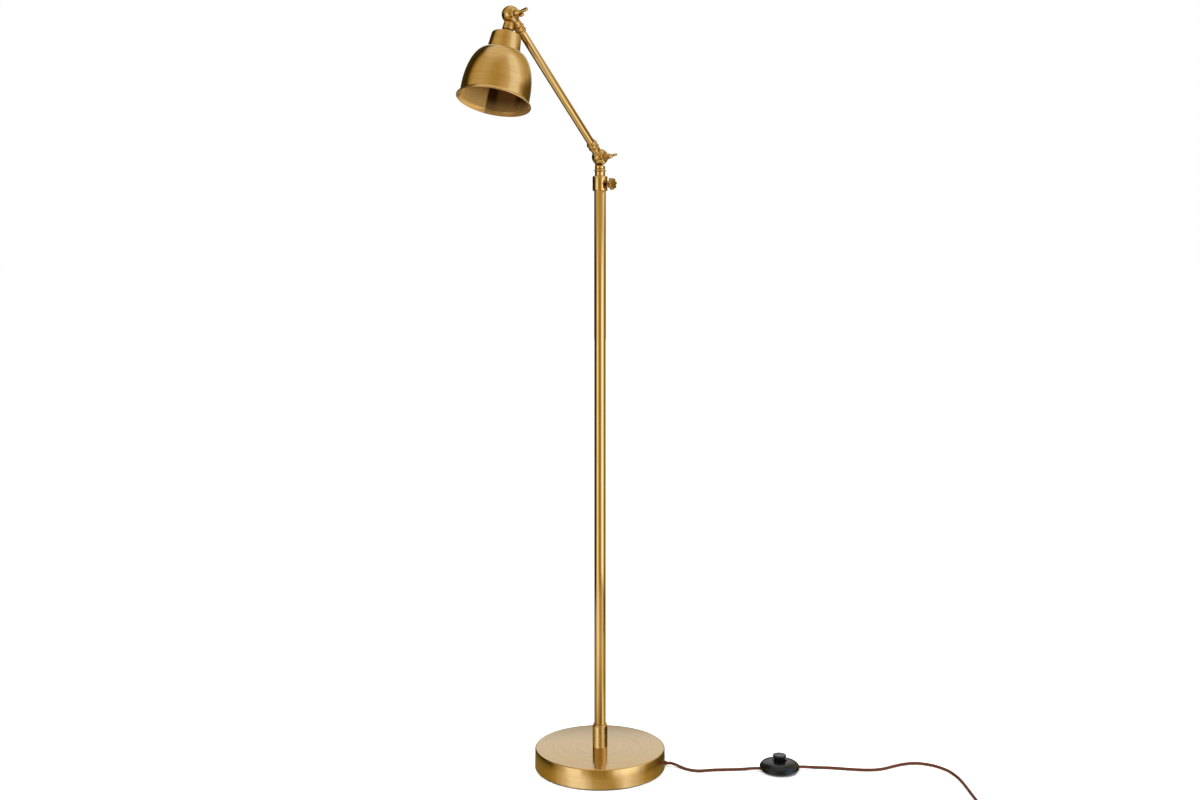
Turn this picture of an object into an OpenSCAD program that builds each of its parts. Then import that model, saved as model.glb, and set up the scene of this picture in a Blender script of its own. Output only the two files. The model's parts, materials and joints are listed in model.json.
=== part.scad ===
// Adjustable arm floor lamp: round weighted base, telescoping pole, arm on two
// ball joints, bell shade, and a foot switch on the cord. Millimetres, +Z up,
// origin on the floor under the middle of the base.

/* [Base] */
// Radius of the round base
base_r = 116.2; // [100:0.1:140]
// Height of the top of the base above the floor
base_h = 36.3; // [36:0.1:44]
// Thickness of the felt pad
pad_t = 2; // [1:0.5:2]
// Thickness of the spun brass of base, cup and bell
sheet_t = 1.2; // [0.8:0.1:1.5]
// Height of the cast iron weight, without its hub
weight_h = 18; // [12:1:20]

/* [Pole] */
// Outer radius of the lower pole
pole_r = 10.5; // [9.8:0.1:10.8]
// Outer radius of the socket that the pole stands in
socket_r = 13.3; // [12:0.1:16]
// Height of the socket above the base
socket_h = 40.2; // [30:0.1:60]
// Outer radius of the clamp collar
clamp_r = 13.4; // [12.5:0.1:16]
// Height of the clamp collar
clamp_h = 25.9; // [22:0.1:34]
// Outer radius of the sliding mast
mast_r = 8; // [7.5:0.1:8.2]
// How far the mast slides up
mast_travel = 300; // [100:10:320]

/* [Arm] */
// Height of the lower ball joint above the floor
lower_z = 1093.4; // [1000:0.1:1200]
// Distance between the two ball joints
arm_len = 320.5; // [200:0.5:400]
// Outer radius of the arm tube
arm_r = 6.9; // [6:0.1:8]
// Lean of the arm from upright, in degrees
arm_tilt = 48.8; // [30:0.1:60]
// Turn of the arm and its hinge pins about the pole, in degrees
arm_turn = -37.5; // [-60:0.5:0]
// Radius of the ball joints
ball_r = 14.8; // [13.5:0.1:15]

/* [Shade] */
// Lean of the shade's mouth away from the pole, in degrees
shade_tilt = 15.6; // [0:0.1:20]
// Distance from the upper ball joint to the plane of the rim
rim_at = 155; // [150:0.1:165]
// Radius over the rolled lip
lip_r = 61.6; // [58:0.1:66]
// Greatest radius of the bell before it flares
bell_r = 56.7; // [54:0.1:57]
// Radius of the cup at its top
cup_top_r = 24.5; // [22:0.1:26]
// Radius of the cup where it meets the bell
cup_foot_r = 27.5; // [25:0.1:28]
// Inner radius of the lampholder's screw shell
shell_r = 13.2; // [13:0.05:13.5]

/* [Foot switch] */
// Greatest radius of the switch housing
switch_r = 35; // [30:1:40]
// Height of the housing without the button
switch_h = 18.5; // [16:0.5:24]
// Radius of the button
button_r = 12; // [9:0.5:14]
// Height of the top of the button above the floor
button_top = 29; // [26:0.5:32]

/* [Cord] */
// Radius of the cord
cord_r = 2.5; // [2:0.1:2.5]
// Radius of the leads inside the lamp
lead_r = 1.8; // [1.5:0.1:2]

/* [Hidden] */
$fn = 96;

brass = "#c2975b";
brass_dark = "#9a7036";
iron = "#4c4a48";
steel = "#b9b9b6";
black = "#242321";
brown = "#4f2c1b";
felt = "#2e2b28";
ceramic = "#e9e4d8";

// Small gaps: between pieces of one body, for a running fit, and between
// pieces that move past each other.
seat_gap = 0.05;
run_gap = 0.08;
free_gap = 0.3;
// How far a cut runs past the face that it opens
over = 1;

// Base, from the floor up
base_round_r = 2;
pad_inset = 1.5;
weight_gap = 1;
weight_r = base_r - sheet_t - 2.8;
hub_r = 28;
hub_top = base_h - sheet_t;
recess_r = 21;
recess_top = 28.6;
nipple_r = 5;
nipple_bore = 3.2;
nipple_foot = 20;
nut_h = 6;
nut_r = 9.2;
washer_r = 15;
washer_t = 1.6;
exit_z = 5.8;
bush_wall_r = 3.4;
bush_catch_r = 3.7;
bush_head_r = 4.1;
bush_tip_r = 3.1;
bush_catch = 0.5;
bush_inner_len = 15;
bush_outer_len = 4;
channel_w = 12;
channel_h = 12;

// Pole, from the base up
socket_floor = 10;
socket_groove = [2.6, 2.2, 1.8, 1.4];
socket_groove_in = 0.4;
socket_edge = 0.5;
pole_wall = 1;
pole_foot = base_h + socket_floor;
clamp_top = lower_z - 34.7;
clamp_foot = clamp_top - clamp_h;
clamp_edge = 0.8;
pole_in_clamp = 5.2;
pole_top = clamp_foot + pole_in_clamp;
guide_bore = mast_r + run_gap;
guide_r = pole_r - pole_wall - run_gap;
bush_len = 30;
knob_z = clamp_foot + 11;
screw_r = 3;
knob_hub = [18, 24];
knob_hub_r = [4.4, 5.8];
knob_disc = [24, 30];
knob_disc_r = 8.1;
lobes = 7;
lobe_r = 2.9;
lobe_at = 7.9;

// Mast
neck_foot = clamp_top + free_gap;
mast_foot = pole_top - bush_len - mast_travel - 68;
mast_wall = 1.2;
mast_in_neck = 13;
ring_t = 2;
ring_r = guide_r - 0.4;
guide_foot = mast_foot + 4;
neck_r = 9.2;
neck_round_r = 2;
neck_bead_r = 10.6;
neck_bead_w = 3.7;
neck_bead_at = 24.2;
neck_waist_r = 8.4;
neck_waist = [2.4, 3];

// Ball joints, measured from the ball's centre
half_gap = 0.15;
neck_start = ball_r + 0.5;
cavity_r = 9.4;
lead_bore_r = 4;
front_flat = 11.5;
back_flat = 12;
pin_r = 2.5;
pin_len = 19.5;
head_r = 5.5;
head_t = 2.4;
seat_washer_r = 6.6;
seat_washer_t = 1;
nut_start = front_flat + seat_washer_t + 0.2;
nut_end = 21;
wing_hub_r = [6.2, 5];
wing_root = [2.5, 2.5];
wing_root_w = 2.6;
wing_span = 11.2;
wing_end = 32.6;
wing_w = 4.2;
wing_t = 4;
lower_nut_lean = -158;
upper_nut_lean = -117;
ferrule_r = 8.4;
ferrule_bead_r = 10;
ferrule_bead_w = 3.5;
ferrule_end = 36;
lower_beads = [24, 31.5];
upper_beads = [25.5, 33.5];
tube_start = 30;
shade_neck_r = [8.4, 9.4];
shade_neck_end = 27.8;
nipple_start = neck_start + 4;

// Shade, measured down its axis from the upper ball's centre
spacer_end = 37.5;
spacer_groove_r = 6.2;
spacer_r = [9.2, 9.5, 10, 12, 13];
cup_top = spacer_end;
cup_edge = 1.6;
bell_top = 67.8;
cup_foot = bell_top;
bell_top_r = 28;
bell_hole_r = 17.6;
bell_mid = 136;
flare_at = 148;
lip_bead_r = 1.1;
bell_steps = 14;
dome_power = 0.97;
shade_ring_r = [22, 19.6];
shade_ring_h = [2, 6];
nipple_nut_r = 8.4;
nipple_nut_h = 3;
holder_r = 17.4;
cap_r = [9, 14, 16.8];
cap_start = 42;
body_start = 52;
body_end = 80;
contact_start = 54.5;
contact_t = 1.3;
contact_r = 4.5;
shell_start = 56;
shell_end = 78.5;
shell_t = 0.6;

// Foot switch
switch_x = 319;
switch_y = -22;
switch_turn = 6;
split_z = 7.4;
switch_foot_r = 25.4;
switch_wall = 2;
port_z = 5.5;
port_gap = 0.2;
port_depth = 9;
crest_r = 13.4;
hole_r = 10.6;
hole_floor = 15;
dimple_depth = 1.9;
button_foot = 13.5;
button_flange = [11.6, 1.2];
button_recess = [7, 2.5];
button_stem_r = [8.6, 9.4, 11];
button_round_r = 1.6;
spring_foot = 8.5;
spring_turns = 3;
spring_r = 5;
spring_wire_r = 0.5;
contacts = [30, 18];
terminal_x = 11;
screw_x = 20;
switch_screw_r = 1.5;

// Cord: points chosen by hand along each stretch
short_route = [
    [119, 0, 5.8], [128, -0.5, 5.6], [136, -4.2, 4.2], [144, -11, 3], [152, -18.8, 2.6],
    [162, -25.6, 2.6], [174, -29.2, 2.6], [188, -27.2, 2.6], [202, -24.6, 2.6],
    [216, -23.4, 2.6], [231, -22.8, 2.6], [245, -21.8, 2.6], [256, -21.8, 3.2],
    [267, -23.4, 4.6], [279, -24.8, 5.5], [290, -25, 5.5]
];
long_route = [
    [348, -19, 5.5], [359, -17.5, 5.5], [370, -15.2, 4.4], [382, -13.6, 3.2], [395, -13, 2.6],
    [408, -14, 2.6], [421, -16.3, 2.6], [434, -19, 2.6], [447, -21.6, 2.6],
    [460, -23.6, 2.6], [473, -24.6, 2.6], [486, -24.2, 2.6], [498, -21.6, 2.6],
    [509, -16.6, 2.6], [519, -10.4, 2.6], [530, -4, 2.6], [541, 1.6, 2.6], [553, 6, 2.6],
    [565, 7.8, 2.6], [577, 6.6, 2.6], [588, 2.2, 2.6], [599, -5, 2.6], [608, -14.6, 2.6],
    [616, -27, 2.6], [620.5, -39, 2.6], [623.5, -52, 2.6], [625.5, -65, 2.6],
    [626.5, -79, 2.6], [627, -93, 2.6], [627, -107, 2.6], [627, -121, 2.6],
    [627, -136, 2.6], [627, -151, 2.6], [627.2, -166, 2.8], [627.4, -182, 3.2],
    [627.5, -197, 3.6], [627.5, -212, 3.7], [627.5, -226, 3.7]
];
coil_x = 590.5;
coil_y = -228;
coil_r = [19.5, 39.5];
coil_z = [1.2, 11.2];
tail_y = coil_y - coil_r[1] + cord_r;
tail_route = [
    [coil_x, tail_y, 8.7], [584, tail_y, 8.7], [577, tail_y, 8.5], [569, tail_y, 8.2]
];
tie_wall = 1.1;
tie_w = 6;
tie_at = 135;
plug_z = 8.2;
plug_from = 570;
boot_len = 25;
plug_len = 30;
plug_w = 26;
plug_h = 16;
plug_corner = 6;
boot_r = [3.6, 5.8];
blade = [17, 1.5, 6.35];
blade_pitch = 12.7;
blade_root = 8;
blade_hole = [1.6, 5];

arm_dir = [0, -sin(arm_tilt), cos(arm_tilt)];

// ---- placing ----

// Turns the head about the pole: +X is the hinge pins' axis, -Y is outwards
module head_turn() {
    rotate([0, 0, arm_turn]) children();
}

// Origin at the lower ball, +Z along the arm
module arm_frame() {
    head_turn() translate([0, 0, lower_z]) rotate([arm_tilt, 0, 0]) children();
}

// Origin at the lower ball, +Z straight down
module mast_neck_frame() {
    head_turn() translate([0, 0, lower_z]) rotate([180, 0, 0]) children();
}

// Origin at the upper ball, +Z back down the arm
module arm_end_frame() {
    arm_frame() translate([0, 0, arm_len]) rotate([180, 0, 0]) children();
}

// Origin at the upper ball, +Z out along the shade's axis
module shade_frame() {
    head_turn()
        translate([0, 0, lower_z] + arm_len * arm_dir)
            rotate([180 - shade_tilt, 0, 0])
                children();
}

module switch_frame() {
    translate([switch_x, switch_y, 0]) rotate([0, 0, switch_turn]) children();
}

// ---- shapes used again ----

module ring(outer, inner, height) {
    difference() {
        cylinder(r = outer, h = height);
        translate([0, 0, -over]) cylinder(r = inner, h = height + 2 * over);
    }
}

// Cylinder along +X between two places
module rod_x(radius, from, to) {
    translate([from, 0, 0]) rotate([0, 90, 0]) cylinder(r = radius, h = to - from);
}

// Outline of a turned bead that stands out to a radius
module bead(radius, width, at) {
    translate([radius - width / 2, at]) circle(d = width, $fn = 32);
}

// Half of a hollow ball joint, on the side of +X or -X, with its half-round stem
module half_ball(side, stem_r) {
    reach = 2 * ball_r;
    flat = side > 0 ? front_flat : back_flat;
    difference() {
        intersection() {
            union() {
                rotate([0, 0, 90]) sphere(r = ball_r);
                cylinder(r = stem_r, h = neck_start + over);
            }
            translate([side > 0 ? half_gap : -flat, -reach, -reach])
                cube([flat - half_gap, 2 * reach, 2 * reach]);
        }
        rotate([0, 0, 90]) sphere(r = cavity_r);
        rod_x(pin_r + run_gap, -reach, reach);
    }
}

// Way for the lead through a neck, from the ball's hollow outwards
module lead_bore(to) {
    start = cavity_r / 2;
    translate([0, 0, start]) cylinder(r = lead_bore_r, h = to - start);
}

// Hinge screw with its domed head on the back of the ball
module hinge_screw() {
    rod_x(pin_r, -back_flat, pin_len);
    translate([-back_flat, 0, 0])
        rotate([0, -90, 0])
            rotate_extrude()
                polygon([
                    [0, 0], [head_r, 0], [head_r, head_t * 0.4],
                    for (a = [15:15:90]) [head_r * cos(a), head_t * (0.4 + 0.6 * sin(a))]
                ]);
}

module seat_washer() {
    translate([front_flat, 0, 0])
        rotate([0, 90, 0])
            ring(seat_washer_r, pin_r + run_gap, seat_washer_t);
}

// Flat paddle of a wing nut, leaning outwards from the hub
module wing() {
    root = [nut_start, 0] + wing_root;
    tip = [wing_end - wing_w, wing_span - wing_w];
    run = tip - root;
    length = norm(run);
    translate([root[0], root[1], -wing_t / 2])
        rotate([0, 0, atan2(run[1], run[0])])
            linear_extrude(wing_t)
                union() {
                    polygon([
                        [0, -wing_root_w], [length, -wing_w], [length, wing_w],
                        [0, wing_root_w]
                    ]);
                    translate([length, 0]) circle(r = wing_w, $fn = 48);
                }
}

module wing_nut(lean) {
    difference() {
        rotate([lean, 0, 0]) {
            translate([nut_start, 0, 0])
                rotate([0, 90, 0])
                    cylinder(r1 = wing_hub_r[0], r2 = wing_hub_r[1], h = nut_end - nut_start);
            wing();
            mirror([0, 1, 0]) wing();
        }
        rod_x(pin_r + run_gap, 0, nut_end - over);
    }
}

// ---- base ----

module base_pad() {
    color(felt) cylinder(r = base_r - pad_inset, h = pad_t);
}

module base_cover() {
    inner_r = base_r - sheet_t;
    color(brass)
        difference() {
            rotate_extrude($fn = 180)
                polygon([
                    [nipple_r + seat_gap, hub_top], [inner_r - sheet_t, hub_top],
                    [inner_r, hub_top - sheet_t], [inner_r, pad_t], [base_r, pad_t],
                    for (a = [0:15:90])
                        [base_r - base_round_r * (1 - cos(a)),
                            base_h - base_round_r * (1 - sin(a))],
                    [nipple_r + seat_gap, base_h]
                ]);
            translate([0, 0, exit_z])
                rod_x(bush_wall_r + seat_gap, weight_r, base_r + over);
        }
}

module base_weight() {
    foot = pad_t + weight_gap;
    color(iron)
        difference() {
            union() {
                translate([0, 0, foot]) cylinder(r = weight_r, h = weight_h);
                translate([0, 0, foot]) cylinder(r = hub_r, h = hub_top - foot);
            }
            translate([0, 0, foot - over])
                cylinder(r = recess_r, h = recess_top - foot + over);
            cylinder(r = nipple_r + seat_gap, h = base_h);
            translate([0, -channel_w / 2, foot - over])
                cube([base_r, channel_w, channel_h - foot + over]);
        }
}

module base_washer() {
    color(steel)
        translate([0, 0, recess_top - washer_t])
            ring(washer_r, nipple_r + seat_gap, washer_t);
}

module base_nut() {
    color(steel)
        translate([0, 0, recess_top - washer_t - nut_h])
            difference() {
                cylinder(r = nut_r, h = nut_h, $fn = 6);
                translate([0, 0, -over])
                    cylinder(r = nipple_r + seat_gap, h = nut_h + 2 * over);
            }
}

module base_nipple() {
    color(steel)
        translate([0, 0, nipple_foot])
            ring(nipple_r, nipple_bore, pole_foot - over - nipple_foot);
}

module cord_bush() {
    wall_from = base_r - sheet_t;
    color(brown)
        difference() {
            translate([0, 0, exit_z])
                rotate([0, 90, 0])
                    rotate_extrude()
                        polygon([
                            [0, wall_from - bush_inner_len],
                            [bush_tip_r, wall_from - bush_inner_len],
                            [bush_catch_r, wall_from - 3 * bush_catch],
                            [bush_catch_r, wall_from - bush_catch],
                            [bush_wall_r, wall_from - bush_catch],
                            [bush_wall_r, base_r + free_gap], [bush_head_r, base_r + free_gap],
                            [bush_head_r, base_r + free_gap + over],
                            [bush_tip_r, base_r + bush_outer_len], [0, base_r + bush_outer_len]
                        ]);
            translate([0, 0, exit_z]) rod_x(cord_r + port_gap, 0, 2 * base_r);
        }
}

module lead_stand() {
    bend = nipple_foot - exit_z;
    color(brown) {
        translate([0, 0, exit_z]) rod_x(lead_r, bend, weight_r);
        translate([bend, 0, nipple_foot])
            rotate([90, 0, 0])
                rotate([0, 0, 180])
                    rotate_extrude(angle = 90) translate([bend, 0]) circle(r = lead_r);
        translate([0, 0, nipple_foot]) cylinder(r = lead_r, h = mast_foot - bush_len - nipple_foot);
    }
}

// ---- pole ----

module post_socket() {
    top = base_h + socket_h;
    color(brass)
        difference() {
            rotate_extrude()
                polygon([
                    [0, base_h], [socket_r, base_h], [socket_r, top - socket_groove[0]],
                    [socket_r - socket_groove_in, top - socket_groove[1]],
                    [socket_r - socket_groove_in, top - socket_groove[2]],
                    [socket_r, top - socket_groove[3]], [socket_r, top - socket_edge],
                    [socket_r - socket_edge, top], [0, top]
                ]);
            cylinder(r = nipple_r + seat_gap, h = pole_foot + over);
            translate([0, 0, pole_foot]) cylinder(r = pole_r + seat_gap, h = socket_h);
        }
}

module outer_tube() {
    color(brass)
        translate([0, 0, pole_foot]) ring(pole_r, pole_r - pole_wall, pole_top - pole_foot);
}

module tube_bush() {
    color(black)
        translate([0, 0, pole_top - bush_len])
            ring(pole_r - pole_wall - seat_gap, guide_bore, bush_len);
}

module clamp_collar() {
    side_r = clamp_r - clamp_edge;
    color(brass)
        difference() {
            rotate_extrude()
                polygon([
                    [0, clamp_foot], [side_r, clamp_foot], [clamp_r, clamp_foot + clamp_edge],
                    [clamp_r, clamp_top - clamp_edge], [side_r, clamp_top], [0, clamp_top]
                ]);
            translate([0, 0, clamp_foot - over])
                cylinder(r = pole_r + seat_gap, h = pole_in_clamp + over);
            translate([0, 0, clamp_foot]) cylinder(r = guide_bore, h = clamp_h + over);
            head_turn() translate([0, 0, knob_z]) rod_x(screw_r + run_gap, 0, clamp_r + over);
        }
}

module clamp_knob() {
    hub_len = knob_hub[1] - knob_hub[0];
    color(brass)
        head_turn()
            translate([0, 0, knob_z])
                rotate([0, 90, 0]) {
                    difference() {
                        translate([0, 0, knob_hub[0]])
                            cylinder(r1 = knob_hub_r[0], r2 = knob_hub_r[1], h = hub_len);
                        cylinder(r = screw_r + seat_gap, h = knob_hub[1] - over);
                    }
                    translate([0, 0, knob_disc[0]])
                        linear_extrude(knob_disc[1] - knob_disc[0]) {
                            circle(r = knob_disc_r);
                            for (i = [0:lobes - 1])
                                rotate(360 * (i + 0.5) / lobes)
                                    translate([lobe_at, 0]) circle(r = lobe_r, $fn = 32);
                        }
                }
}

module clamp_screw() {
    color(steel)
        head_turn()
            translate([0, 0, knob_z])
                rod_x(screw_r, mast_r + free_gap, knob_hub[1] - over - seat_gap);
}

// ---- mast ----

module mast_guide() {
    color(black) translate([0, 0, guide_foot]) ring(guide_r, guide_bore, bush_len);
}

module mast_tube() {
    color(brass_dark)
        translate([0, 0, mast_foot]) ring(mast_r, mast_r - mast_wall, neck_foot + mast_in_neck - mast_foot);
}

module mast_rings() {
    color(steel)
        for (z = [guide_foot - free_gap - ring_t, guide_foot + bush_len + free_gap])
            translate([0, 0, z]) ring(ring_r, mast_r + seat_gap, ring_t);
}

module mast_joint() {
    neck_len = lower_z - neck_foot;
    round_at = neck_r - neck_round_r;
    color(brass)
        mast_neck_frame() {
            difference() {
                rotate_extrude() {
                    polygon([
                        [0, neck_start], [round_at, neck_start],
                        for (a = [90:-15:0])
                            [round_at + neck_round_r * cos(a),
                                neck_start + neck_round_r * (1 - sin(a))],
                        [neck_r, neck_bead_at - neck_waist[1]],
                        [neck_waist_r, neck_bead_at - neck_waist[0]],
                        [neck_waist_r, neck_bead_at + neck_waist[0]],
                        [neck_r, neck_bead_at + neck_waist[1]],
                        [neck_r, neck_len], [0, neck_len]
                    ]);
                    bead(neck_bead_r, neck_bead_w, neck_bead_at);
                }
                translate([0, 0, neck_len - mast_in_neck - seat_gap])
                    cylinder(r = mast_r + seat_gap, h = mast_in_neck + over);
                lead_bore(neck_len);
            }
            difference() {
                half_ball(-1, neck_r - free_gap);
                lead_bore(neck_start + 2 * over);
            }
        }
}

module lower_screw() {
    color(steel) mast_neck_frame() hinge_screw();
}

module lead_mast() {
    color(brown) translate([0, 0, mast_foot + 2]) cylinder(r = lead_r, h = neck_foot - mast_foot);
}

module lower_wing_nut() {
    color(brass) mast_neck_frame() wing_nut(lower_nut_lean);
}

// ---- arm ----

// Ferrule and front half of a ball joint, one casting
module arm_joint(beads) {
    edge = 0.6;
    color(brass) {
        difference() {
            rotate_extrude() {
                polygon([
                    [0, neck_start], [ferrule_r - 2 * edge, neck_start],
                    [ferrule_r - edge, neck_start + edge], [ferrule_r, neck_start + 3 * edge],
                    [ferrule_r, ferrule_end - edge], [ferrule_r - edge, ferrule_end],
                    [0, ferrule_end]
                ]);
                for (at = beads) bead(ferrule_bead_r, ferrule_bead_w, at);
            }
            translate([0, 0, tube_start]) cylinder(r = arm_r + seat_gap, h = ferrule_end);
            lead_bore(ferrule_end);
        }
        difference() {
            half_ball(1, ferrule_r - edge);
            lead_bore(neck_start + 2 * over);
        }
    }
}

module arm_joint_lower() {
    arm_frame() arm_joint(lower_beads);
}

module arm_joint_upper() {
    arm_end_frame() arm_joint(upper_beads);
}

module arm_tube() {
    color(brass)
        arm_frame()
            translate([0, 0, tube_start + seat_gap])
                ring(arm_r, arm_r - pole_wall, arm_len - 2 * (tube_start + seat_gap));
}

module lower_seat_washer() {
    color(brass_dark) mast_neck_frame() seat_washer();
}

module upper_seat_washer() {
    color(brass_dark) arm_end_frame() seat_washer();
}

module lead_arm() {
    start = neck_start + 2 * over;
    color(brown)
        arm_frame()
            translate([0, 0, start]) cylinder(r = lead_r, h = arm_len - 2 * start);
}

// ---- shade ----

module shade_joint() {
    edge = 0.6;
    color(brass)
        shade_frame() {
            difference() {
                rotate_extrude()
                    polygon([
                        [0, neck_start], [shade_neck_r[0] - edge, neck_start],
                        [shade_neck_r[0], neck_start + edge],
                        [shade_neck_r[1], shade_neck_end - edge],
                        [shade_neck_r[1] - edge, shade_neck_end], [0, shade_neck_end]
                    ]);
                translate([0, 0, nipple_start])
                    cylinder(r = nipple_r + seat_gap, h = shade_neck_end);
                lead_bore(shade_neck_end);
            }
            difference() {
                half_ball(-1, shade_neck_r[0] - edge);
                lead_bore(neck_start + 2 * over);
            }
        }
}

module upper_screw() {
    color(steel) shade_frame() hinge_screw();
}

module upper_wing_nut() {
    color(brass) shade_frame() wing_nut(upper_nut_lean);
}

module shade_nipple() {
    start = nipple_start + run_gap;
    color(steel)
        shade_frame()
            translate([0, 0, start]) ring(nipple_r, nipple_bore, body_start - over - start);
}

// Turned spacer between the neck and the cup, with a narrow groove at its top
module neck_spacer() {
    groove_end = shade_neck_end + 1.5;
    color(brass_dark)
        shade_frame()
            difference() {
                rotate_extrude()
                    polygon([
                        [0, shade_neck_end], [spacer_groove_r, shade_neck_end],
                        [spacer_groove_r, groove_end], [spacer_r[0], groove_end],
                        [spacer_r[1], groove_end + over], [spacer_r[2], groove_end + 3 * over],
                        [spacer_r[3], spacer_end - 2 * over], [spacer_r[4], spacer_end],
                        [0, spacer_end]
                    ]);
                cylinder(r = nipple_r + seat_gap, h = spacer_end + over);
            }
}

module socket_cup() {
    round_at = cup_top_r - cup_edge;
    inside = cup_top + sheet_t;
    color(brass)
        shade_frame()
            rotate_extrude()
                polygon([
                    [nipple_r + seat_gap, cup_top], [round_at, cup_top],
                    for (a = [90:-15:0])
                        [round_at + cup_edge * cos(a), cup_top + cup_edge * (1 - sin(a))],
                    [cup_foot_r, cup_foot], [cup_foot_r - sheet_t, cup_foot],
                    [cup_top_r - sheet_t, inside + over], [round_at - over, inside],
                    [nipple_r + seat_gap, inside]
                ]);
}

// Point [radius, depth] of the bell's dome at angle a, moved in by inset
function dome(a, inset) = [
    bell_top_r + (bell_r - inset - bell_top_r) * pow(sin(a), dome_power),
    bell_mid - (bell_mid - bell_top - inset) * cos(a)
];

// Radius of the flared skirt at a given depth
function flare(depth) =
    let (part = (depth - flare_at) / (rim_at - lip_bead_r - flare_at))
    bell_r + (lip_r - lip_bead_r - bell_r) * part * part;

module bell_shade() {
    flare_end = rim_at - lip_bead_r;
    flare_steps = 4;
    flare_step = (flare_end - flare_at) / flare_steps;
    color(brass)
        shade_frame()
            rotate_extrude($fn = 144)
                polygon([
                    [bell_hole_r, bell_top],
                    for (i = [0:bell_steps]) dome(90 * i / bell_steps, 0),
                    for (i = [0:flare_steps - 1])
                        [flare(flare_at + i * flare_step), flare_at + i * flare_step],
                    for (a = [100:-20:-160])
                        [lip_r - lip_bead_r + lip_bead_r * cos(a),
                            flare_end - lip_bead_r * sin(a)],
                    for (i = [flare_steps - 1:-1:0])
                        [flare(flare_at + i * flare_step) - sheet_t, flare_at + i * flare_step],
                    for (i = [bell_steps:-1:0]) dome(90 * i / bell_steps, sheet_t),
                    [bell_hole_r, bell_top + sheet_t]
                ]);
}

module shade_ring() {
    color(black)
        shade_frame()
            translate([0, 0, bell_top + sheet_t])
                difference() {
                    union() {
                        cylinder(r = shade_ring_r[0], h = shade_ring_h[0]);
                        cylinder(r = shade_ring_r[1], h = shade_ring_h[1]);
                    }
                    translate([0, 0, -over])
                        cylinder(r = holder_r + seat_gap, h = shade_ring_h[1] + 2 * over);
                }
}

module nipple_nut() {
    color(steel)
        shade_frame()
            translate([0, 0, cup_top + sheet_t])
                difference() {
                    cylinder(r = nipple_nut_r, h = nipple_nut_h, $fn = 6);
                    translate([0, 0, -over])
                        cylinder(r = nipple_r + seat_gap, h = nipple_nut_h + 2 * over);
                }
}

module lampholder_cap() {
    color(black)
        shade_frame()
            difference() {
                rotate_extrude()
                    polygon([
                        [0, cap_start], [cap_r[0], cap_start], [cap_r[1], cap_start + 2 * over],
                        [cap_r[2], body_start - 3 * over], [cap_r[2], body_start],
                        [0, body_start]
                    ]);
                cylinder(r = nipple_r + seat_gap, h = body_start + over);
            }
}

module lampholder_body() {
    color(black)
        shade_frame()
            difference() {
                translate([0, 0, body_start]) cylinder(r = holder_r, h = body_end - body_start);
                translate([0, 0, contact_start])
                    cylinder(r = shell_r + shell_t + seat_gap, h = body_end);
                cylinder(r = nipple_bore, h = body_end);
            }
}

module screw_shell() {
    color(brass)
        shade_frame()
            translate([0, 0, shell_start]) ring(shell_r + shell_t, shell_r, shell_end - shell_start);
}

module centre_contact() {
    color(brass)
        shade_frame() translate([0, 0, contact_start]) cylinder(r = contact_r, h = contact_t);
}

module lead_shade() {
    start = neck_start + 2 * over;
    color(brown)
        shade_frame()
            translate([0, 0, start])
                cylinder(r = lead_r, h = contact_start - free_gap - start);
}

// ---- foot switch ----

// Outline of the housing from its foot to the split line
function lower_bulge(a) = [
    switch_foot_r + (switch_r - switch_foot_r) * sin(a),
    split_z * (1 - cos(a))
];

// Outline of the housing from the split line to the crest round the button
function upper_bulge(a, inset) = [
    crest_r + (switch_r - inset - crest_r) * cos(a),
    split_z + (switch_h - inset - split_z) * pow(sin(a), 0.9)
];

module cord_ports() {
    bore_r = cord_r + port_gap;
    translate([0, 0, port_z]) rod_x(bore_r, -switch_r - over, port_depth - switch_r);
    translate([0, 0, port_z]) rod_x(bore_r, switch_r - port_depth, switch_r + over);
}

module switch_base() {
    color(black)
        switch_frame()
            difference() {
                rotate_extrude()
                    polygon([
                        [0, 0], for (a = [0:15:90]) lower_bulge(a),
                        [switch_r - switch_wall, split_z],
                        [switch_foot_r, switch_wall + over],
                        [switch_foot_r - 3 * over, switch_wall], [0, switch_wall]
                    ]);
                cord_ports();
                for (x = [-screw_x, screw_x])
                    translate([x, 0, -over])
                        cylinder(r = switch_screw_r + run_gap, h = switch_wall + 3 * over);
            }
}

module switch_cover() {
    color(black)
        switch_frame()
            difference() {
                rotate_extrude()
                    polygon([
                        [switch_r, split_z],
                        for (a = [10:10:90]) upper_bulge(a, 0),
                        [hole_r, switch_h - dimple_depth], [hole_r, hole_floor],
                        [hole_r + switch_wall, hole_floor],
                        for (a = [80:-10:0]) upper_bulge(a, switch_wall)
                    ]);
                cord_ports();
            }
}

module switch_contacts() {
    color(ceramic)
        switch_frame()
            difference() {
                translate([-contacts[0] / 2, -contacts[1] / 2, switch_wall])
                    cube([contacts[0], contacts[1], spring_foot - switch_wall]);
                for (x = [-terminal_x, terminal_x])
                    translate([x, 0, 2 * switch_wall])
                        cylinder(r = switch_screw_r, h = spring_foot);
            }
}

module switch_screws() {
    head_h = 1.5;
    foot = 0.6;
    color(steel)
        switch_frame()
            for (x = [-screw_x, screw_x])
                translate([x, 0, foot]) {
                    cylinder(r = switch_screw_r, h = spring_foot);
                    translate([0, 0, switch_wall - foot + seat_gap])
                        cylinder(r = 2 * switch_screw_r, h = head_h);
                }
}

module switch_spring() {
    pitch = (button_foot + button_recess[1] - free_gap / 2 - spring_foot) / spring_turns;
    color(steel)
        switch_frame()
            for (i = [0:spring_turns - 1])
                translate([0, 0, spring_foot + pitch * (i + 0.5)])
                    rotate_extrude() translate([spring_r, 0]) circle(r = spring_wire_r, $fn = 24);
}

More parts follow.
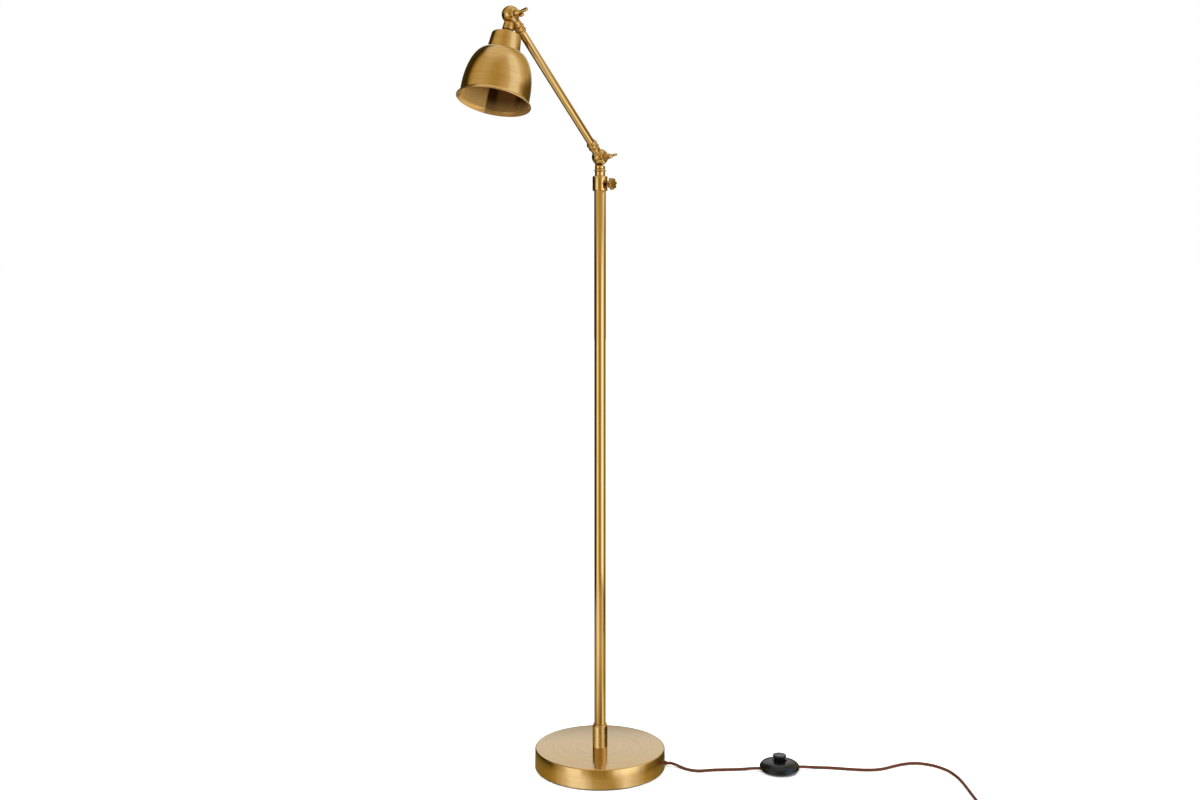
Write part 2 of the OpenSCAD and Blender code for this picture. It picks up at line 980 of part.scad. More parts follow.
module switch_button() {
    flange_top = button_foot + button_flange[1];
    recess_end = button_foot + button_recess[1];
    round_at = button_r - button_round_r;
    taper_h = button_top - switch_h;
    color(black)
        switch_frame()
            rotate_extrude()
                polygon([
                    [0, recess_end], [button_recess[0], recess_end],
                    [button_recess[0], button_foot], [button_flange[0], button_foot],
                    [button_flange[0], flange_top], [button_stem_r[0], flange_top],
                    [button_stem_r[0], switch_h],
                    [button_stem_r[1], switch_h + taper_h / 3],
                    [button_stem_r[2], switch_h + 2 * taper_h / 3],
                    for (a = [0:15:90])
                        [round_at + button_round_r * cos(a),
                            button_top - button_round_r * (1 - sin(a))],
                    [0, button_top]
                ]);
}

// ---- cord ----

function unit(v) = v / norm(v);

function heading(route, i) =
    unit(route[min(i + 1, len(route) - 1)] - route[max(i - 1, 0)]);

// Ring of points round a route's point i
function hoop(route, i, radius, sides) =
    let (along = heading(route, i))
    let (across = unit(cross([0, 0, 1], along)))
    let (up = cross(along, across))
    [for (k = [0:sides - 1])
        route[i] + radius * (cos(360 * k / sides) * across + sin(360 * k / sides) * up)];

module cord_tube(route, radius, sides = 10) {
    count = len(route);
    points = [for (i = [0:count - 1]) each hoop(route, i, radius, sides)];
    walls = [
        for (i = [0:count - 2])
            for (k = [0:sides - 1])
                let (a = i * sides + k, b = i * sides + (k + 1) % sides)
                [a, b, b + sides, a + sides]
    ];
    start_cap = [for (k = [sides - 1:-1:0]) k];
    end_cap = [for (k = [0:sides - 1]) (count - 1) * sides + k];
    polyhedron(points, concat(walls, [start_cap, end_cap]), convexity = 8);
}

module cord_short() {
    color(brown) cord_tube(short_route, cord_r);
}

module cord_long() {
    color(brown) cord_tube(long_route, cord_r);
}

module cord_tail() {
    color(brown) cord_tube(tail_route, cord_r);
}

module cord_coil() {
    color(brown)
        translate([coil_x, coil_y, coil_z[0]])
            ring(coil_r[1], coil_r[0], coil_z[1] - coil_z[0]);
}

module cord_tie() {
    inner = [coil_r[1] - coil_r[0] + 0.4, tie_w + 2, coil_z[1] - coil_z[0] + 0.2];
    outer = [inner[0] + 2 * tie_wall, tie_w, inner[2] + 2 * tie_wall];
    color(black)
        translate([coil_x, coil_y, 0])
            rotate([0, 0, tie_at])
                translate([(coil_r[0] + coil_r[1]) / 2, 0, 0])
                    difference() {
                        translate([-outer[0] / 2, -outer[1] / 2, 0]) cube(outer);
                        translate([-inner[0] / 2, -inner[1] / 2, tie_wall]) cube(inner);
                    }
}

module plug_body() {
    core = [plug_w - 2 * plug_corner, plug_h - 2 * plug_corner];
    color(black)
        translate([plug_from, tail_y, plug_z])
            rotate([0, -90, 0])
                difference() {
                    union() {
                        cylinder(r1 = boot_r[0], r2 = boot_r[1], h = boot_len);
                        translate([0, 0, boot_len])
                            linear_extrude(plug_len) {
                                square([core[1], plug_w], center = true);
                                square([plug_h, core[0]], center = true);
                                for (x = [-1, 1], y = [-1, 1])
                                    translate([x * core[1] / 2, y * core[0] / 2])
                                        circle(r = plug_corner);
                            }
                    }
                    translate([0, 0, -over]) cylinder(r = cord_r + port_gap, h = port_depth);
                    for (side = [-1, 1])
                        translate([0, side * blade_pitch / 2, boot_len + plug_len])
                            cube([blade[2], blade[1], 2 * (blade_root + over)], center = true);
                }
}

module plug_blades() {
    face = plug_from - boot_len - plug_len;
    length = blade[0] + blade_root;
    color(steel)
        for (side = [-1, 1])
            translate([face, tail_y + side * blade_pitch / 2, plug_z])
                difference() {
                    translate([(blade_root - blade[0]) / 2, 0, 0])
                        cube([length, blade[1] - 2 * seat_gap, blade[2] - 2 * seat_gap],
                            center = true);
                    translate([blade_hole[1] - blade[0], 0, 0])
                        rotate([90, 0, 0])
                            cylinder(r = blade_hole[0], h = 2 * blade[1], center = true);
                }
}

base_pad();
base_cover();
base_weight();
base_washer();
base_nut();
base_nipple();
post_socket();
outer_tube();
tube_bush();
clamp_collar();
cord_bush();
lead_stand();
clamp_knob();
clamp_screw();
mast_guide();
mast_tube();
mast_rings();
mast_joint();
lower_screw();
lead_mast();
lower_wing_nut();
arm_joint_lower();
arm_tube();
arm_joint_upper();
lower_seat_washer();
upper_seat_washer();
lead_arm();
shade_joint();
upper_screw();
shade_nipple();
neck_spacer();
socket_cup();
bell_shade();
shade_ring();
nipple_nut();
lampholder_cap();
lampholder_body();
screw_shell();
centre_contact();
lead_shade();
upper_wing_nut();
cord_short();
switch_base();
switch_cover();
switch_contacts();
switch_screws();
switch_spring();
switch_button();
cord_long();
cord_coil();
cord_tie();
cord_tail();
plug_body();
plug_blades();
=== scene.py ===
"""Looks of the adjustable arm floor lamp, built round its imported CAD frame.

Pieces are modelled in millimetres in the frame of the CAD part that they belong to, and are
then placed in the row frame, in metres.
"""

import json
import math

import bmesh
import bpy
import numpy as np
from mathutils import Matrix, Vector


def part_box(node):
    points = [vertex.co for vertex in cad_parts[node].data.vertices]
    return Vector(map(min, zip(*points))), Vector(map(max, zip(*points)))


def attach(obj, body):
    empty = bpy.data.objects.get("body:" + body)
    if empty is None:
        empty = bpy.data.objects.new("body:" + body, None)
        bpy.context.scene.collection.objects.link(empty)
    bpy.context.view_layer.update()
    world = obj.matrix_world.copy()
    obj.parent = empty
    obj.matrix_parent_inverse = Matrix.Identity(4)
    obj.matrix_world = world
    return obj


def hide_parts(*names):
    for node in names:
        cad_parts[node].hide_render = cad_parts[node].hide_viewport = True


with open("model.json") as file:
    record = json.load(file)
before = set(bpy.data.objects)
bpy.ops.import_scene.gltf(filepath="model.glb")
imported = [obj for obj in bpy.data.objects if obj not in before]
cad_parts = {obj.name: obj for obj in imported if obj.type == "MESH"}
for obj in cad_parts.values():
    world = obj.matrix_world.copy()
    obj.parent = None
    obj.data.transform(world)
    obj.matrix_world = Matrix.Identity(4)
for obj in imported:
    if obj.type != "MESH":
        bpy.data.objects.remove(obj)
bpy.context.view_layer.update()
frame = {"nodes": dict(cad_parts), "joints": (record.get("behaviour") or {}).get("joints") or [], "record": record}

MM = 0.001

# ---- camera ----

CAMERA_PLACE = (0, -2.252, 0.8238)
CAMERA_LENS = 37.64
CAMERA_SHIFT = -0.0773


def make_camera():
    data = bpy.data.cameras.new("camera")
    data.lens = CAMERA_LENS
    data.sensor_width = 36
    data.shift_y = CAMERA_SHIFT
    camera = bpy.data.objects.new("camera", data)
    camera.location = CAMERA_PLACE
    camera.rotation_euler = (math.pi / 2, 0, 0)
    bpy.context.scene.collection.objects.link(camera)
    bpy.context.scene.camera = camera


make_camera()

# ---- cords ----

CORD_RADIUS = 0.0025
SHORT_ROUTE = [
    (0.119, 0, 0.0058), (0.128, -0.0005, 0.0056), (0.136, -0.0042, 0.0042),
    (0.144, -0.011, 0.003), (0.152, -0.0188, 0.0026), (0.162, -0.0256, 0.0026),
    (0.174, -0.0292, 0.0026), (0.188, -0.0272, 0.0026), (0.202, -0.0246, 0.0026),
    (0.216, -0.0234, 0.0026), (0.231, -0.0228, 0.0026), (0.245, -0.0218, 0.0026),
    (0.256, -0.0218, 0.0032), (0.267, -0.0234, 0.0046), (0.279, -0.0248, 0.0055),
    (0.29, -0.025, 0.0055),
]
LONG_ROUTE = [
    (0.348, -0.019, 0.0055), (0.359, -0.0175, 0.0055), (0.37, -0.0152, 0.0044),
    (0.382, -0.0136, 0.0032), (0.395, -0.013, 0.0026), (0.408, -0.014, 0.0026),
    (0.421, -0.0163, 0.0026), (0.434, -0.019, 0.0026), (0.447, -0.0216, 0.0026),
    (0.46, -0.0236, 0.0026), (0.473, -0.0246, 0.0026), (0.486, -0.0242, 0.0026),
    (0.498, -0.0216, 0.0026), (0.509, -0.0166, 0.0026), (0.519, -0.0104, 0.0026),
    (0.53, -0.004, 0.0026), (0.541, 0.0016, 0.0026), (0.553, 0.006, 0.0026),
    (0.565, 0.0078, 0.0026), (0.577, 0.0066, 0.0026), (0.588, 0.0022, 0.0026),
    (0.599, -0.005, 0.0026), (0.608, -0.0146, 0.0026), (0.616, -0.027, 0.0026),
    (0.6205, -0.039, 0.0026), (0.6235, -0.052, 0.0026), (0.6255, -0.065, 0.0026),
    (0.6265, -0.079, 0.0026), (0.627, -0.093, 0.0026), (0.627, -0.107, 0.0026),
    (0.627, -0.121, 0.0026), (0.627, -0.136, 0.0026), (0.627, -0.151, 0.0026),
    (0.6272, -0.166, 0.0028), (0.6274, -0.182, 0.0032), (0.6275, -0.197, 0.0036),
    (0.6275, -0.212, 0.0037),
]
TAIL_ROUTE = [(0.584, -0.265, 0.0087), (0.577, -0.265, 0.0085), (0.569, -0.265, 0.0082)]

COIL_CENTRE = (0.5905, -0.228)
COIL_OUTER = 0.037
COIL_INNER = 0.022
COIL_PITCH = 0.005
COIL_LOW = 0.0037
COIL_HIGH = 0.0087
COIL_TURNS = 7.25
POINTS_PER_TURN = 36


def ease(value, start, end):
    """0 before start, 1 after end, and a smooth rise between them."""
    part = min(max((value - start) / (end - start), 0), 1)
    return part * part * (3 - 2 * part)


def coil_point(turn):
    """Point of the coil after so many turns: four turns inwards, and then outwards on top."""
    whole = int(turn)
    part = turn - whole
    if turn < 3:
        radius = COIL_OUTER - COIL_PITCH * (whole + ease(part, 0.78, 1))
        height = COIL_LOW
    elif turn < 4:
        radius = COIL_INNER
        height = COIL_LOW + (COIL_HIGH - COIL_LOW) * ease(part, 0.78, 1)
    else:
        radius = COIL_INNER + COIL_PITCH * (whole - 4 + ease(part, 0.55, 0.77))
        height = COIL_HIGH
    angle = -2 * math.pi * turn
    return (
        COIL_CENTRE[0] + radius * math.cos(angle),
        COIL_CENTRE[1] + radius * math.sin(angle),
        height,
    )


def coil_points():
    count = round(COIL_TURNS * POINTS_PER_TURN)
    return [coil_point(COIL_TURNS * i / count) for i in range(count + 1)]


def cord_curve(name, points):
    """A cord as one smooth curve of round section."""
    data = bpy.data.curves.new(name, "CURVE")
    data.dimensions = "3D"
    data.bevel_depth = CORD_RADIUS
    data.bevel_resolution = 5
    data.resolution_u = 6
    data.use_fill_caps = True
    spline = data.splines.new("BEZIER")
    spline.bezier_points.add(len(points) - 1)
    for knot, place in zip(spline.bezier_points, points):
        knot.co = place
        knot.handle_left_type = knot.handle_right_type = "AUTO"
    cord = bpy.data.objects.new(name, data)
    bpy.context.scene.collection.objects.link(cord)
    return cord


def path_length(points):
    steps = zip(points, points[1:])
    return sum((Vector(b) - Vector(a)).length for a, b in steps)


short_cord = cord_curve("lead_base_to_switch", SHORT_ROUTE)
long_points = LONG_ROUTE + coil_points() + TAIL_ROUTE
long_cord = cord_curve("lead_switch_to_plug", long_points)

# ---- places, from the frame ----

joints = {joint["name"]: joint for joint in frame["joints"]}
mounts = {mount["name"]: mount for mount in frame["record"]["mounts"]}
lower_ball = Vector(joints["arm_tilt"]["pos_m"])
upper_ball = Vector(joints["shade_tilt"]["pos_m"])
hinge_axis = Vector(joints["arm_tilt"]["axis"])
arm_axis = (upper_ball - lower_ball).normalized()
shade_axis = Vector(mounts["bulb_socket"]["axis"])
knob_place = Vector(joints["clamp_turn"]["pos_m"])
arm_length = (upper_ball - lower_ball).length / MM


def place(origin, along, across):
    """Matrix from millimetres in a part's frame, with +Z along and +X across, to the row frame."""
    z = Vector(along).normalized()
    x = Vector(across)
    x = (x - x.dot(z) * z).normalized()
    turn = Matrix((x, z.cross(x), z)).transposed().to_4x4()
    return Matrix.Translation(origin) @ turn @ Matrix.Scale(MM, 4)


UP = Vector((0, 0, 1))
IN_ROW = place((0, 0, 0), UP, (1, 0, 0))
IN_HEAD = place((0, 0, 0), UP, hinge_axis)
IN_NECK = place(lower_ball, -UP, hinge_axis)
IN_ARM = place(lower_ball, arm_axis, hinge_axis)
IN_ARM_END = place(upper_ball, -arm_axis, hinge_axis)
IN_SHADE = place(upper_ball, shade_axis, hinge_axis)
IN_KNOB = place(knob_place, hinge_axis, UP)
switch_low, switch_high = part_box("switch_button")
switch_middle = (switch_low + switch_high) / 2
SWITCH_TURN = math.radians(6)
IN_SWITCH = place(
    (switch_middle.x, switch_middle.y, 0), UP, (math.cos(SWITCH_TURN), math.sin(SWITCH_TURN), 0)
)


def top(node):
    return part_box(node)[1].z / MM


def foot(node):
    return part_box(node)[0].z / MM


def half_width(node):
    low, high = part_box(node)
    return (high.y - low.y) / 2 / MM


# ---- mesh helpers ----


def rounded(corners, steps):
    """Outline through corners of (x, y, radius), where a radius above 0 rounds the corner off."""
    outline = []
    count = len(corners)
    for i, (x, y, radius) in enumerate(corners):
        here = Vector((x, y))
        if radius <= 0:
            outline.append(here)
            continue
        before = (Vector(corners[i - 1][:2]) - here).normalized()
        after = (Vector(corners[(i + 1) % count][:2]) - here).normalized()
        half = before.angle(after) / 2
        reach = radius / math.tan(half)
        centre = here + (before + after).normalized() * (radius / math.sin(half))
        start = here + before * reach - centre
        end = here + after * reach - centre
        sweep = start.angle_signed(end)
        for k in range(steps + 1):
            part = start.copy()
            part.rotate(Matrix.Rotation(-sweep * k / steps, 2))
            outline.append(centre + part)
    return outline


def arc(x, y, radius, start, end, steps):
    """Points of an arc about (x, y), from one angle to another in degrees."""
    angles = (math.radians(start + (end - start) * k / steps) for k in range(steps + 1))
    return [Vector((x + radius * math.cos(a), y + radius * math.sin(a))) for a in angles]


def lathe_mesh(outline, sides):
    """bmesh turned about Z from an outline of (radius, height): a closed one where no end is on
    the axis, or one that runs from the axis to the axis."""
    mesh = bmesh.new()
    rings = []
    for radius, height in outline:
        if radius < 1e-6:
            rings.append([mesh.verts.new((0, 0, height))])
            continue
        rings.append([
            mesh.verts.new((
                radius * math.cos(2 * math.pi * k / sides),
                radius * math.sin(2 * math.pi * k / sides),
                height,
            ))
            for k in range(sides)
        ])
    closed = len(rings[0]) > 1
    pairs = list(zip(rings, rings[1:]))
    if closed:
        pairs.append((rings[-1], rings[0]))
    for a, b in pairs:
        for k in range(sides):
            n = (k + 1) % sides
            corners = [a[k % len(a)], a[n % len(a)], b[n % len(b)], b[k % len(b)]]
            unique = list(dict.fromkeys(corners))
            if len(unique) > 2:
                mesh.faces.new(unique)
    bmesh.ops.recalc_face_normals(mesh, faces=mesh.faces)
    return mesh


def prism_mesh(outline, start, end):
    """bmesh of a flat outline of (x, y), from one height to another."""
    mesh = bmesh.new()
    low = [mesh.verts.new((x, y, start)) for x, y in outline]
    high = [mesh.verts.new((x, y, end)) for x, y in outline]
    mesh.faces.new(reversed(low))
    mesh.faces.new(high)
    for k in range(len(outline)):
        n = (k + 1) % len(outline)
        mesh.faces.new((low[k], low[n], high[n], high[k]))
    bmesh.ops.recalc_face_normals(mesh, faces=mesh.faces)
    return mesh


def soften(mesh, width, angle=35, segments=3):
    """Rounds the edges of a bmesh that are sharper than angle."""
    sharp = [e for e in mesh.edges if e.is_manifold and math.degrees(e.calc_face_angle()) > angle]
    bmesh.ops.bevel(
        mesh, geom=sharp, offset=width, segments=segments, profile=0.5,
        affect="EDGES", clamp_overlap=True,
    )
    return mesh


def loose(mesh, name="part"):
    """Object of a bmesh, which takes the bmesh with it."""
    data = bpy.data.meshes.new(name)
    mesh.to_mesh(data)
    mesh.free()
    part = bpy.data.objects.new(name, data)
    bpy.context.scene.collection.objects.link(part)
    return part


def carve(part, other, operation="DIFFERENCE"):
    """part less other, or joined with it; other is used up."""
    modifier = part.modifiers.new("carve", "BOOLEAN")
    modifier.operation = operation
    modifier.solver = "EXACT"
    modifier.object = other
    graph = bpy.context.evaluated_depsgraph_get()
    data = bpy.data.meshes.new_from_object(part.evaluated_get(graph), depsgraph=graph)
    part.modifiers.clear()
    part.data = data
    bpy.data.objects.remove(other)
    return part


def rod(radius, start, end, turn=None):
    """Loose plain cylinder along Z, turned by a matrix: a cutter, or the core of a piece."""
    part = loose(lathe_mesh([(0, start), (radius, start), (radius, end), (0, end)], 48))
    if turn is not None:
        part.data.transform(turn)
    return part


ALONG_X = Matrix.Rotation(math.pi / 2, 4, "Y")


def sharp_edges(data, angle):
    """Smooth shading, apart from edges sharper than angle."""
    data.shade_smooth()
    mesh = bmesh.new()
    mesh.from_mesh(data)
    for edge in mesh.edges:
        turn = edge.calc_face_angle(0)
        edge.smooth = math.degrees(turn) < angle
    mesh.to_mesh(data)
    mesh.free()


# The outline map runs with the height and this share of the radius, and once round per turn.
RADIUS_SHARE = 1.37
MAP_LENGTH = 100
MAP_TURN = 6.3


def add_local_layers(data):
    """Stores where each point is in its part's own frame, how sharply it stands out, and a UV map
    that runs along the outline, so that a finish follows the piece and not the room."""
    places = np.empty(len(data.vertices) * 3, np.float32)
    data.vertices.foreach_get("co", places)
    local = data.attributes.new("local", "FLOAT_VECTOR", "POINT")
    local.data.foreach_set("vector", places)
    places = places.reshape(-1, 3)
    normals = np.empty(len(data.vertices) * 3, np.float32)
    data.vertices.foreach_get("normal", normals)
    normals = normals.reshape(-1, 3)
    edges = np.empty(len(data.edges) * 2, np.int32)
    data.edges.foreach_get("vertices", edges)
    edges = edges.reshape(-1, 2)
    bend = np.zeros(len(places))
    count = np.zeros(len(places))
    for a, b in ((0, 1), (1, 0)):
        run = places[edges[:, b]] - places[edges[:, a]]
        square = np.maximum((run * run).sum(1), 1e-6)
        bow = -2 * (run * normals[edges[:, a]]).sum(1) / square
        np.add.at(bend, edges[:, a], bow)
        np.add.at(count, edges[:, a], 1)
    # Curvature: above 0 on edges, which show wear, and below 0 in hollows, which get patina and painted shade.
    wear_and_shade_values = np.clip(bend / np.maximum(count, 1) / 2, -1, 1)
    wear_and_shade = data.attributes.new("wear_and_shade", "FLOAT", "POINT")
    wear_and_shade.data.foreach_set("value", wear_and_shade_values.astype(np.float32))
    layer = data.uv_layers.new(name="outline")
    corners = np.empty(len(data.loops), np.int32)
    data.loops.foreach_get("vertex_index", corners)
    radius = np.hypot(places[:, 0], places[:, 1])
    angle = np.arctan2(places[:, 1], places[:, 0])[corners]
    starts = np.empty(len(data.polygons), np.int32)
    totals = np.empty(len(data.polygons), np.int32)
    data.polygons.foreach_get("loop_start", starts)
    data.polygons.foreach_get("loop_total", totals)
    first = np.repeat(angle[starts], totals)
    wrapped = first + (angle - first + math.pi) % (2 * math.pi) - math.pi
    run = (places[:, 2] + RADIUS_SHARE * radius)[corners]
    flat = np.stack([run / MAP_LENGTH, wrapped / MAP_TURN], 1)
    layer.data.foreach_set("uv", flat.astype(np.float32).ravel())


SMOOTH_BELOW = 32


def piece(name, part, where, material, body, slot, *nodes):
    """Finishes a loose part: its layers, its place, its material, its body, and the CAD nodes
    that it replaces. slot is not used."""
    sharp_edges(part.data, SMOOTH_BELOW)
    add_local_layers(part.data)
    part.data.transform(where)
    part.name = part.data.name = name
    part.data.materials.clear()
    part.data.materials.append(material)
    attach(part, body)
    if nodes:
        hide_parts(*nodes)
    return part


# ---- materials ----


def add_node(tree, kind, inputs=(), **settings):
    """Adds a node to a tree. An input is a value, or the socket that feeds it."""
    node = tree.nodes.new(kind)
    for key, value in settings.items():
        setattr(node, key, value)
    for key, value in dict(inputs).items():
        if isinstance(value, bpy.types.NodeSocket):
            tree.links.new(value, node.inputs[key])
        else:
            node.inputs[key].default_value = value
    return node


class Finish:
    """A material's node tree, with short calls to add and join nodes."""

    def __init__(self, name, **values):
        self.material = bpy.data.materials.new(name)
        self.material.use_nodes = True
        self.tree = self.material.node_tree
        self.shader = self.tree.nodes["Principled BSDF"]
        for key, value in values.items():
            self.shader.inputs[key.replace("_", " ")].default_value = value

    def node(self, kind, inputs=(), **settings):
        return add_node(self.tree, kind, inputs, **settings)

    def join(self, socket, name):
        self.tree.links.new(socket, self.shader.inputs[name])

    def math(self, operation, a, b=0.0, c=0.0):
        return self.node("ShaderNodeMath", {0: a, 1: b, 2: c}, operation=operation).outputs[0]

    def scaled(self, vector, scale):
        node = self.node("ShaderNodeMapping", {"Vector": vector, "Scale": scale})
        return node.outputs["Vector"]

    def noise(self, vector, detail=4, roughness=0.55, scale=1.0):
        node = self.node(
            "ShaderNodeTexNoise",
            {"Vector": vector, "Scale": scale, "Detail": detail, "Roughness": roughness},
        )
        return node.outputs["Fac"]

    def remap(self, value, low, high, to_low=0.0, to_high=1.0):
        node = self.node(
            "ShaderNodeMapRange",
            {"Value": value, 1: low, 2: high, 3: to_low, 4: to_high},
            interpolation_type="SMOOTHSTEP",
        )
        return node.outputs["Result"]

    def mix(self, part, first, second):
        node = self.node("ShaderNodeMix", {0: part, 6: first, 7: second}, data_type="RGBA")
        return node.outputs[2]

    def bump(self, height, strength, distance):
        node = self.node(
            "ShaderNodeBump", {"Height": height, "Strength": strength, "Distance": distance}
        )
        self.join(node.outputs["Normal"], "Normal")

    def attribute(self, name, output):
        return self.node("ShaderNodeAttribute", attribute_name=name).outputs[output]

    def object_place(self):
        return self.node("ShaderNodeTexCoord").outputs["Object"]

    def split(self, vector):
        return self.node("ShaderNodeSeparateXYZ", {0: vector}).outputs

    def vector(self, x, y, z=0.0):
        return self.node("ShaderNodeCombineXYZ", {0: x, 1: y, 2: z}).outputs[0]


BRASS = (0.735, 0.505, 0.215, 1)
BRASS_DEEP = (0.50, 0.29, 0.08, 1)
BRASS_PALE = (0.86, 0.66, 0.36, 1)


def brass(name, brush, deep=BRASS_DEEP, base=BRASS, smooth=0.2, anisotropic=0.6, aged_part=0.5,
          coat=0.08, relief=0.04):
    """Aged, brushed and lacquered brass. brush is "round" for lines that run round a turned or
    spun piece, "along" for a drawn tube's, and "cast" for none. smooth is the roughness where it
    is clean, and aged_part how much of the patina shows. Hollows turn towards the deep colour:
    partly patina, and partly painted shade."""
    finish = Finish(
        name, Metallic=1.0, Coat_Weight=coat, Coat_Roughness=0.08, Coat_IOR=1.5,
        Anisotropic=0.0 if brush == "cast" else anisotropic,
    )
    local = finish.attribute("local", "Vector")
    wear_and_shade = finish.attribute("wear_and_shade", "Fac")
    if brush == "round":
        parts = finish.split(local)
        flat = finish.vector(parts["X"], parts["Y"])
        radius = finish.node("ShaderNodeVectorMath", {0: flat}, operation="LENGTH").outputs["Value"]
        run = finish.math("MULTIPLY_ADD", radius, RADIUS_SHARE, parts["Z"])
        lines = finish.vector(parts["X"], parts["Y"], run)
        fine_scale, cloud_scale = (0.03, 0.03, 3.2), (0.018, 0.018, 0.16)
    elif brush == "along":
        lines = local
        fine_scale, cloud_scale = (2.4, 2.4, 0.015), (0.12, 0.12, 0.012)
    else:
        lines = local
        fine_scale, cloud_scale = (0.42, 0.42, 0.42), (0.13, 0.13, 0.13)
    fine = finish.noise(finish.scaled(lines, fine_scale), detail=3)
    cloud = finish.noise(finish.scaled(lines, cloud_scale), detail=5, roughness=0.62)
    patina = finish.remap(cloud, 0.40, 0.68)
    # Hollows: partly patina, partly painted shade.
    hollow_patina_and_shade = finish.remap(wear_and_shade, -0.05, -0.5)
    edge = finish.remap(wear_and_shade, 0.18, 0.75)
    stain_and_shade = finish.math("MAXIMUM", finish.math("MULTIPLY", patina, aged_part), hollow_patina_and_shade)
    streaked = finish.math("MULTIPLY_ADD", finish.remap(fine, 0.3, 0.7), 0.4 * aged_part, stain_and_shade)
    aged_and_shaded = finish.mix(finish.math("MINIMUM", streaked, 1.0), base, deep)
    finish.join(finish.mix(finish.math("MULTIPLY", edge, 0.6), aged_and_shaded, BRASS_PALE), "Base Color")
    rough = finish.math("MULTIPLY_ADD", stain_and_shade, 0.13, smooth)
    rough = finish.math("MULTIPLY_ADD", finish.remap(fine, 0.25, 0.75), 0.05, rough)
    finish.join(finish.math("MULTIPLY_ADD", edge, -0.06, rough), "Roughness")
    if brush != "cast":
        tangent = finish.node("ShaderNodeTangent", direction_type="UV_MAP", uv_map="outline")
        finish.join(tangent.outputs[0], "Tangent")
    finish.bump(fine, relief, 0.0002)
    return finish.material


# The bell's inside, with painted reflections and painted shade. A side is an angle about the
# bell's axis, with the cosines away from it between which its tone fades in; a depth is a
# distance from the hinge, in millimetres.
BROWN_AND_SHADE = ((0.03, 0.010, 0.002, 1), (0.075, 0.027, 0.005, 1))
TAN_REFLECTION_SIDE, PAINTED_TAN_REFLECTION = (-113, 0.93, 0.985), (0.20, 0.09, 0.022, 1)
REFLECTION_SIDE, PAINTED_REFLECTION = (-180, 0.825, 0.86), ((0.36, 0.15, 0.02, 1), (1.0, 0.62, 0.20, 1))
REFLECTION_DEPTHS = (104, 150)
MOUTH_LIGHT_DEPTHS, MOUTH_LIGHT_PART, PAINTED_MOUTH_LIGHT = (126, 148), 0.36, (0.72, 0.45, 0.15, 1)
FLARE_SHADE_DEPTHS, FLARE_SHADE_PART, PAINTED_FLARE_SHADE = (148, 151), 0.6, (0.24, 0.12, 0.03, 1)


def lining():
    """Brass inside the bell, with painted light: brown that is partly darkened brass and partly
    painted shade, painted reflections on two sides and towards the mouth, and painted shade at
    the flare. The zones are fixed to the bell, and stand in for reflections that the light alone
    doesn't give."""
    finish = Finish("brass_inside_painted_light", Metallic=0.55, Specular_IOR_Level=0.2)
    parts = finish.split(finish.attribute("local", "Vector"))
    flat = finish.vector(parts["X"], parts["Y"])
    out = finish.node("ShaderNodeVectorMath", {0: flat}, operation="NORMALIZE").outputs["Vector"]

    def sector(angle, start, full):
        towards = (math.cos(math.radians(angle)), math.sin(math.radians(angle)), 0)
        near = finish.node("ShaderNodeVectorMath", {0: out, 1: towards}, operation="DOT_PRODUCT")
        return finish.remap(near.outputs["Value"], start, full)

    stretched = finish.vector(parts["X"], parts["Y"], finish.math("MULTIPLY", parts["Z"], 9))
    lines = finish.noise(stretched, detail=4, roughness=0.6, scale=0.06)
    # Brown with streaks: partly darkened brass, partly painted shade.
    tone = finish.mix(lines, *BROWN_AND_SHADE)
    # Painted reflection: a tan side.
    tone = finish.mix(sector(*TAN_REFLECTION_SIDE), tone, PAINTED_TAN_REFLECTION)
    # Painted reflection: a bright side, brighter towards the mouth, with a ragged edge.
    ragged = finish.math("MULTIPLY_ADD", lines, 14, parts["Z"])
    reflection_tone = finish.mix(finish.remap(ragged, *REFLECTION_DEPTHS), *PAINTED_REFLECTION)
    tone = finish.mix(sector(*REFLECTION_SIDE), tone, reflection_tone)
    # Painted light: paler brass towards the mouth.
    mouth_light_mask = finish.math("MULTIPLY", finish.remap(parts["Z"], *MOUTH_LIGHT_DEPTHS), MOUTH_LIGHT_PART)
    tone = finish.mix(mouth_light_mask, tone, PAINTED_MOUTH_LIGHT)
    # Painted shade: darker at the flare, next to the lip.
    flare_shade_mask = finish.math("MULTIPLY", finish.remap(parts["Z"], *FLARE_SHADE_DEPTHS), FLARE_SHADE_PART)
    finish.join(finish.mix(flare_shade_mask, tone, PAINTED_FLARE_SHADE), "Base Color")
    finish.join(finish.remap(lines, 0.3, 0.7, 0.16, 0.26), "Roughness")
    finish.bump(lines, 0.05, 0.0002)
    return finish.material


def zinc():
    """Zinc-plated steel of screws, nuts and the plug's blades."""
    finish = Finish("zinc_plate", Metallic=1.0)
    where = finish.object_place()
    cloud = finish.noise(where, detail=4, scale=260)
    finish.join(finish.mix(cloud, (0.52, 0.52, 0.50, 1), (0.72, 0.72, 0.70, 1)), "Base Color")
    finish.join(finish.remap(cloud, 0.3, 0.7, 0.22, 0.42), "Roughness")
    return finish.material


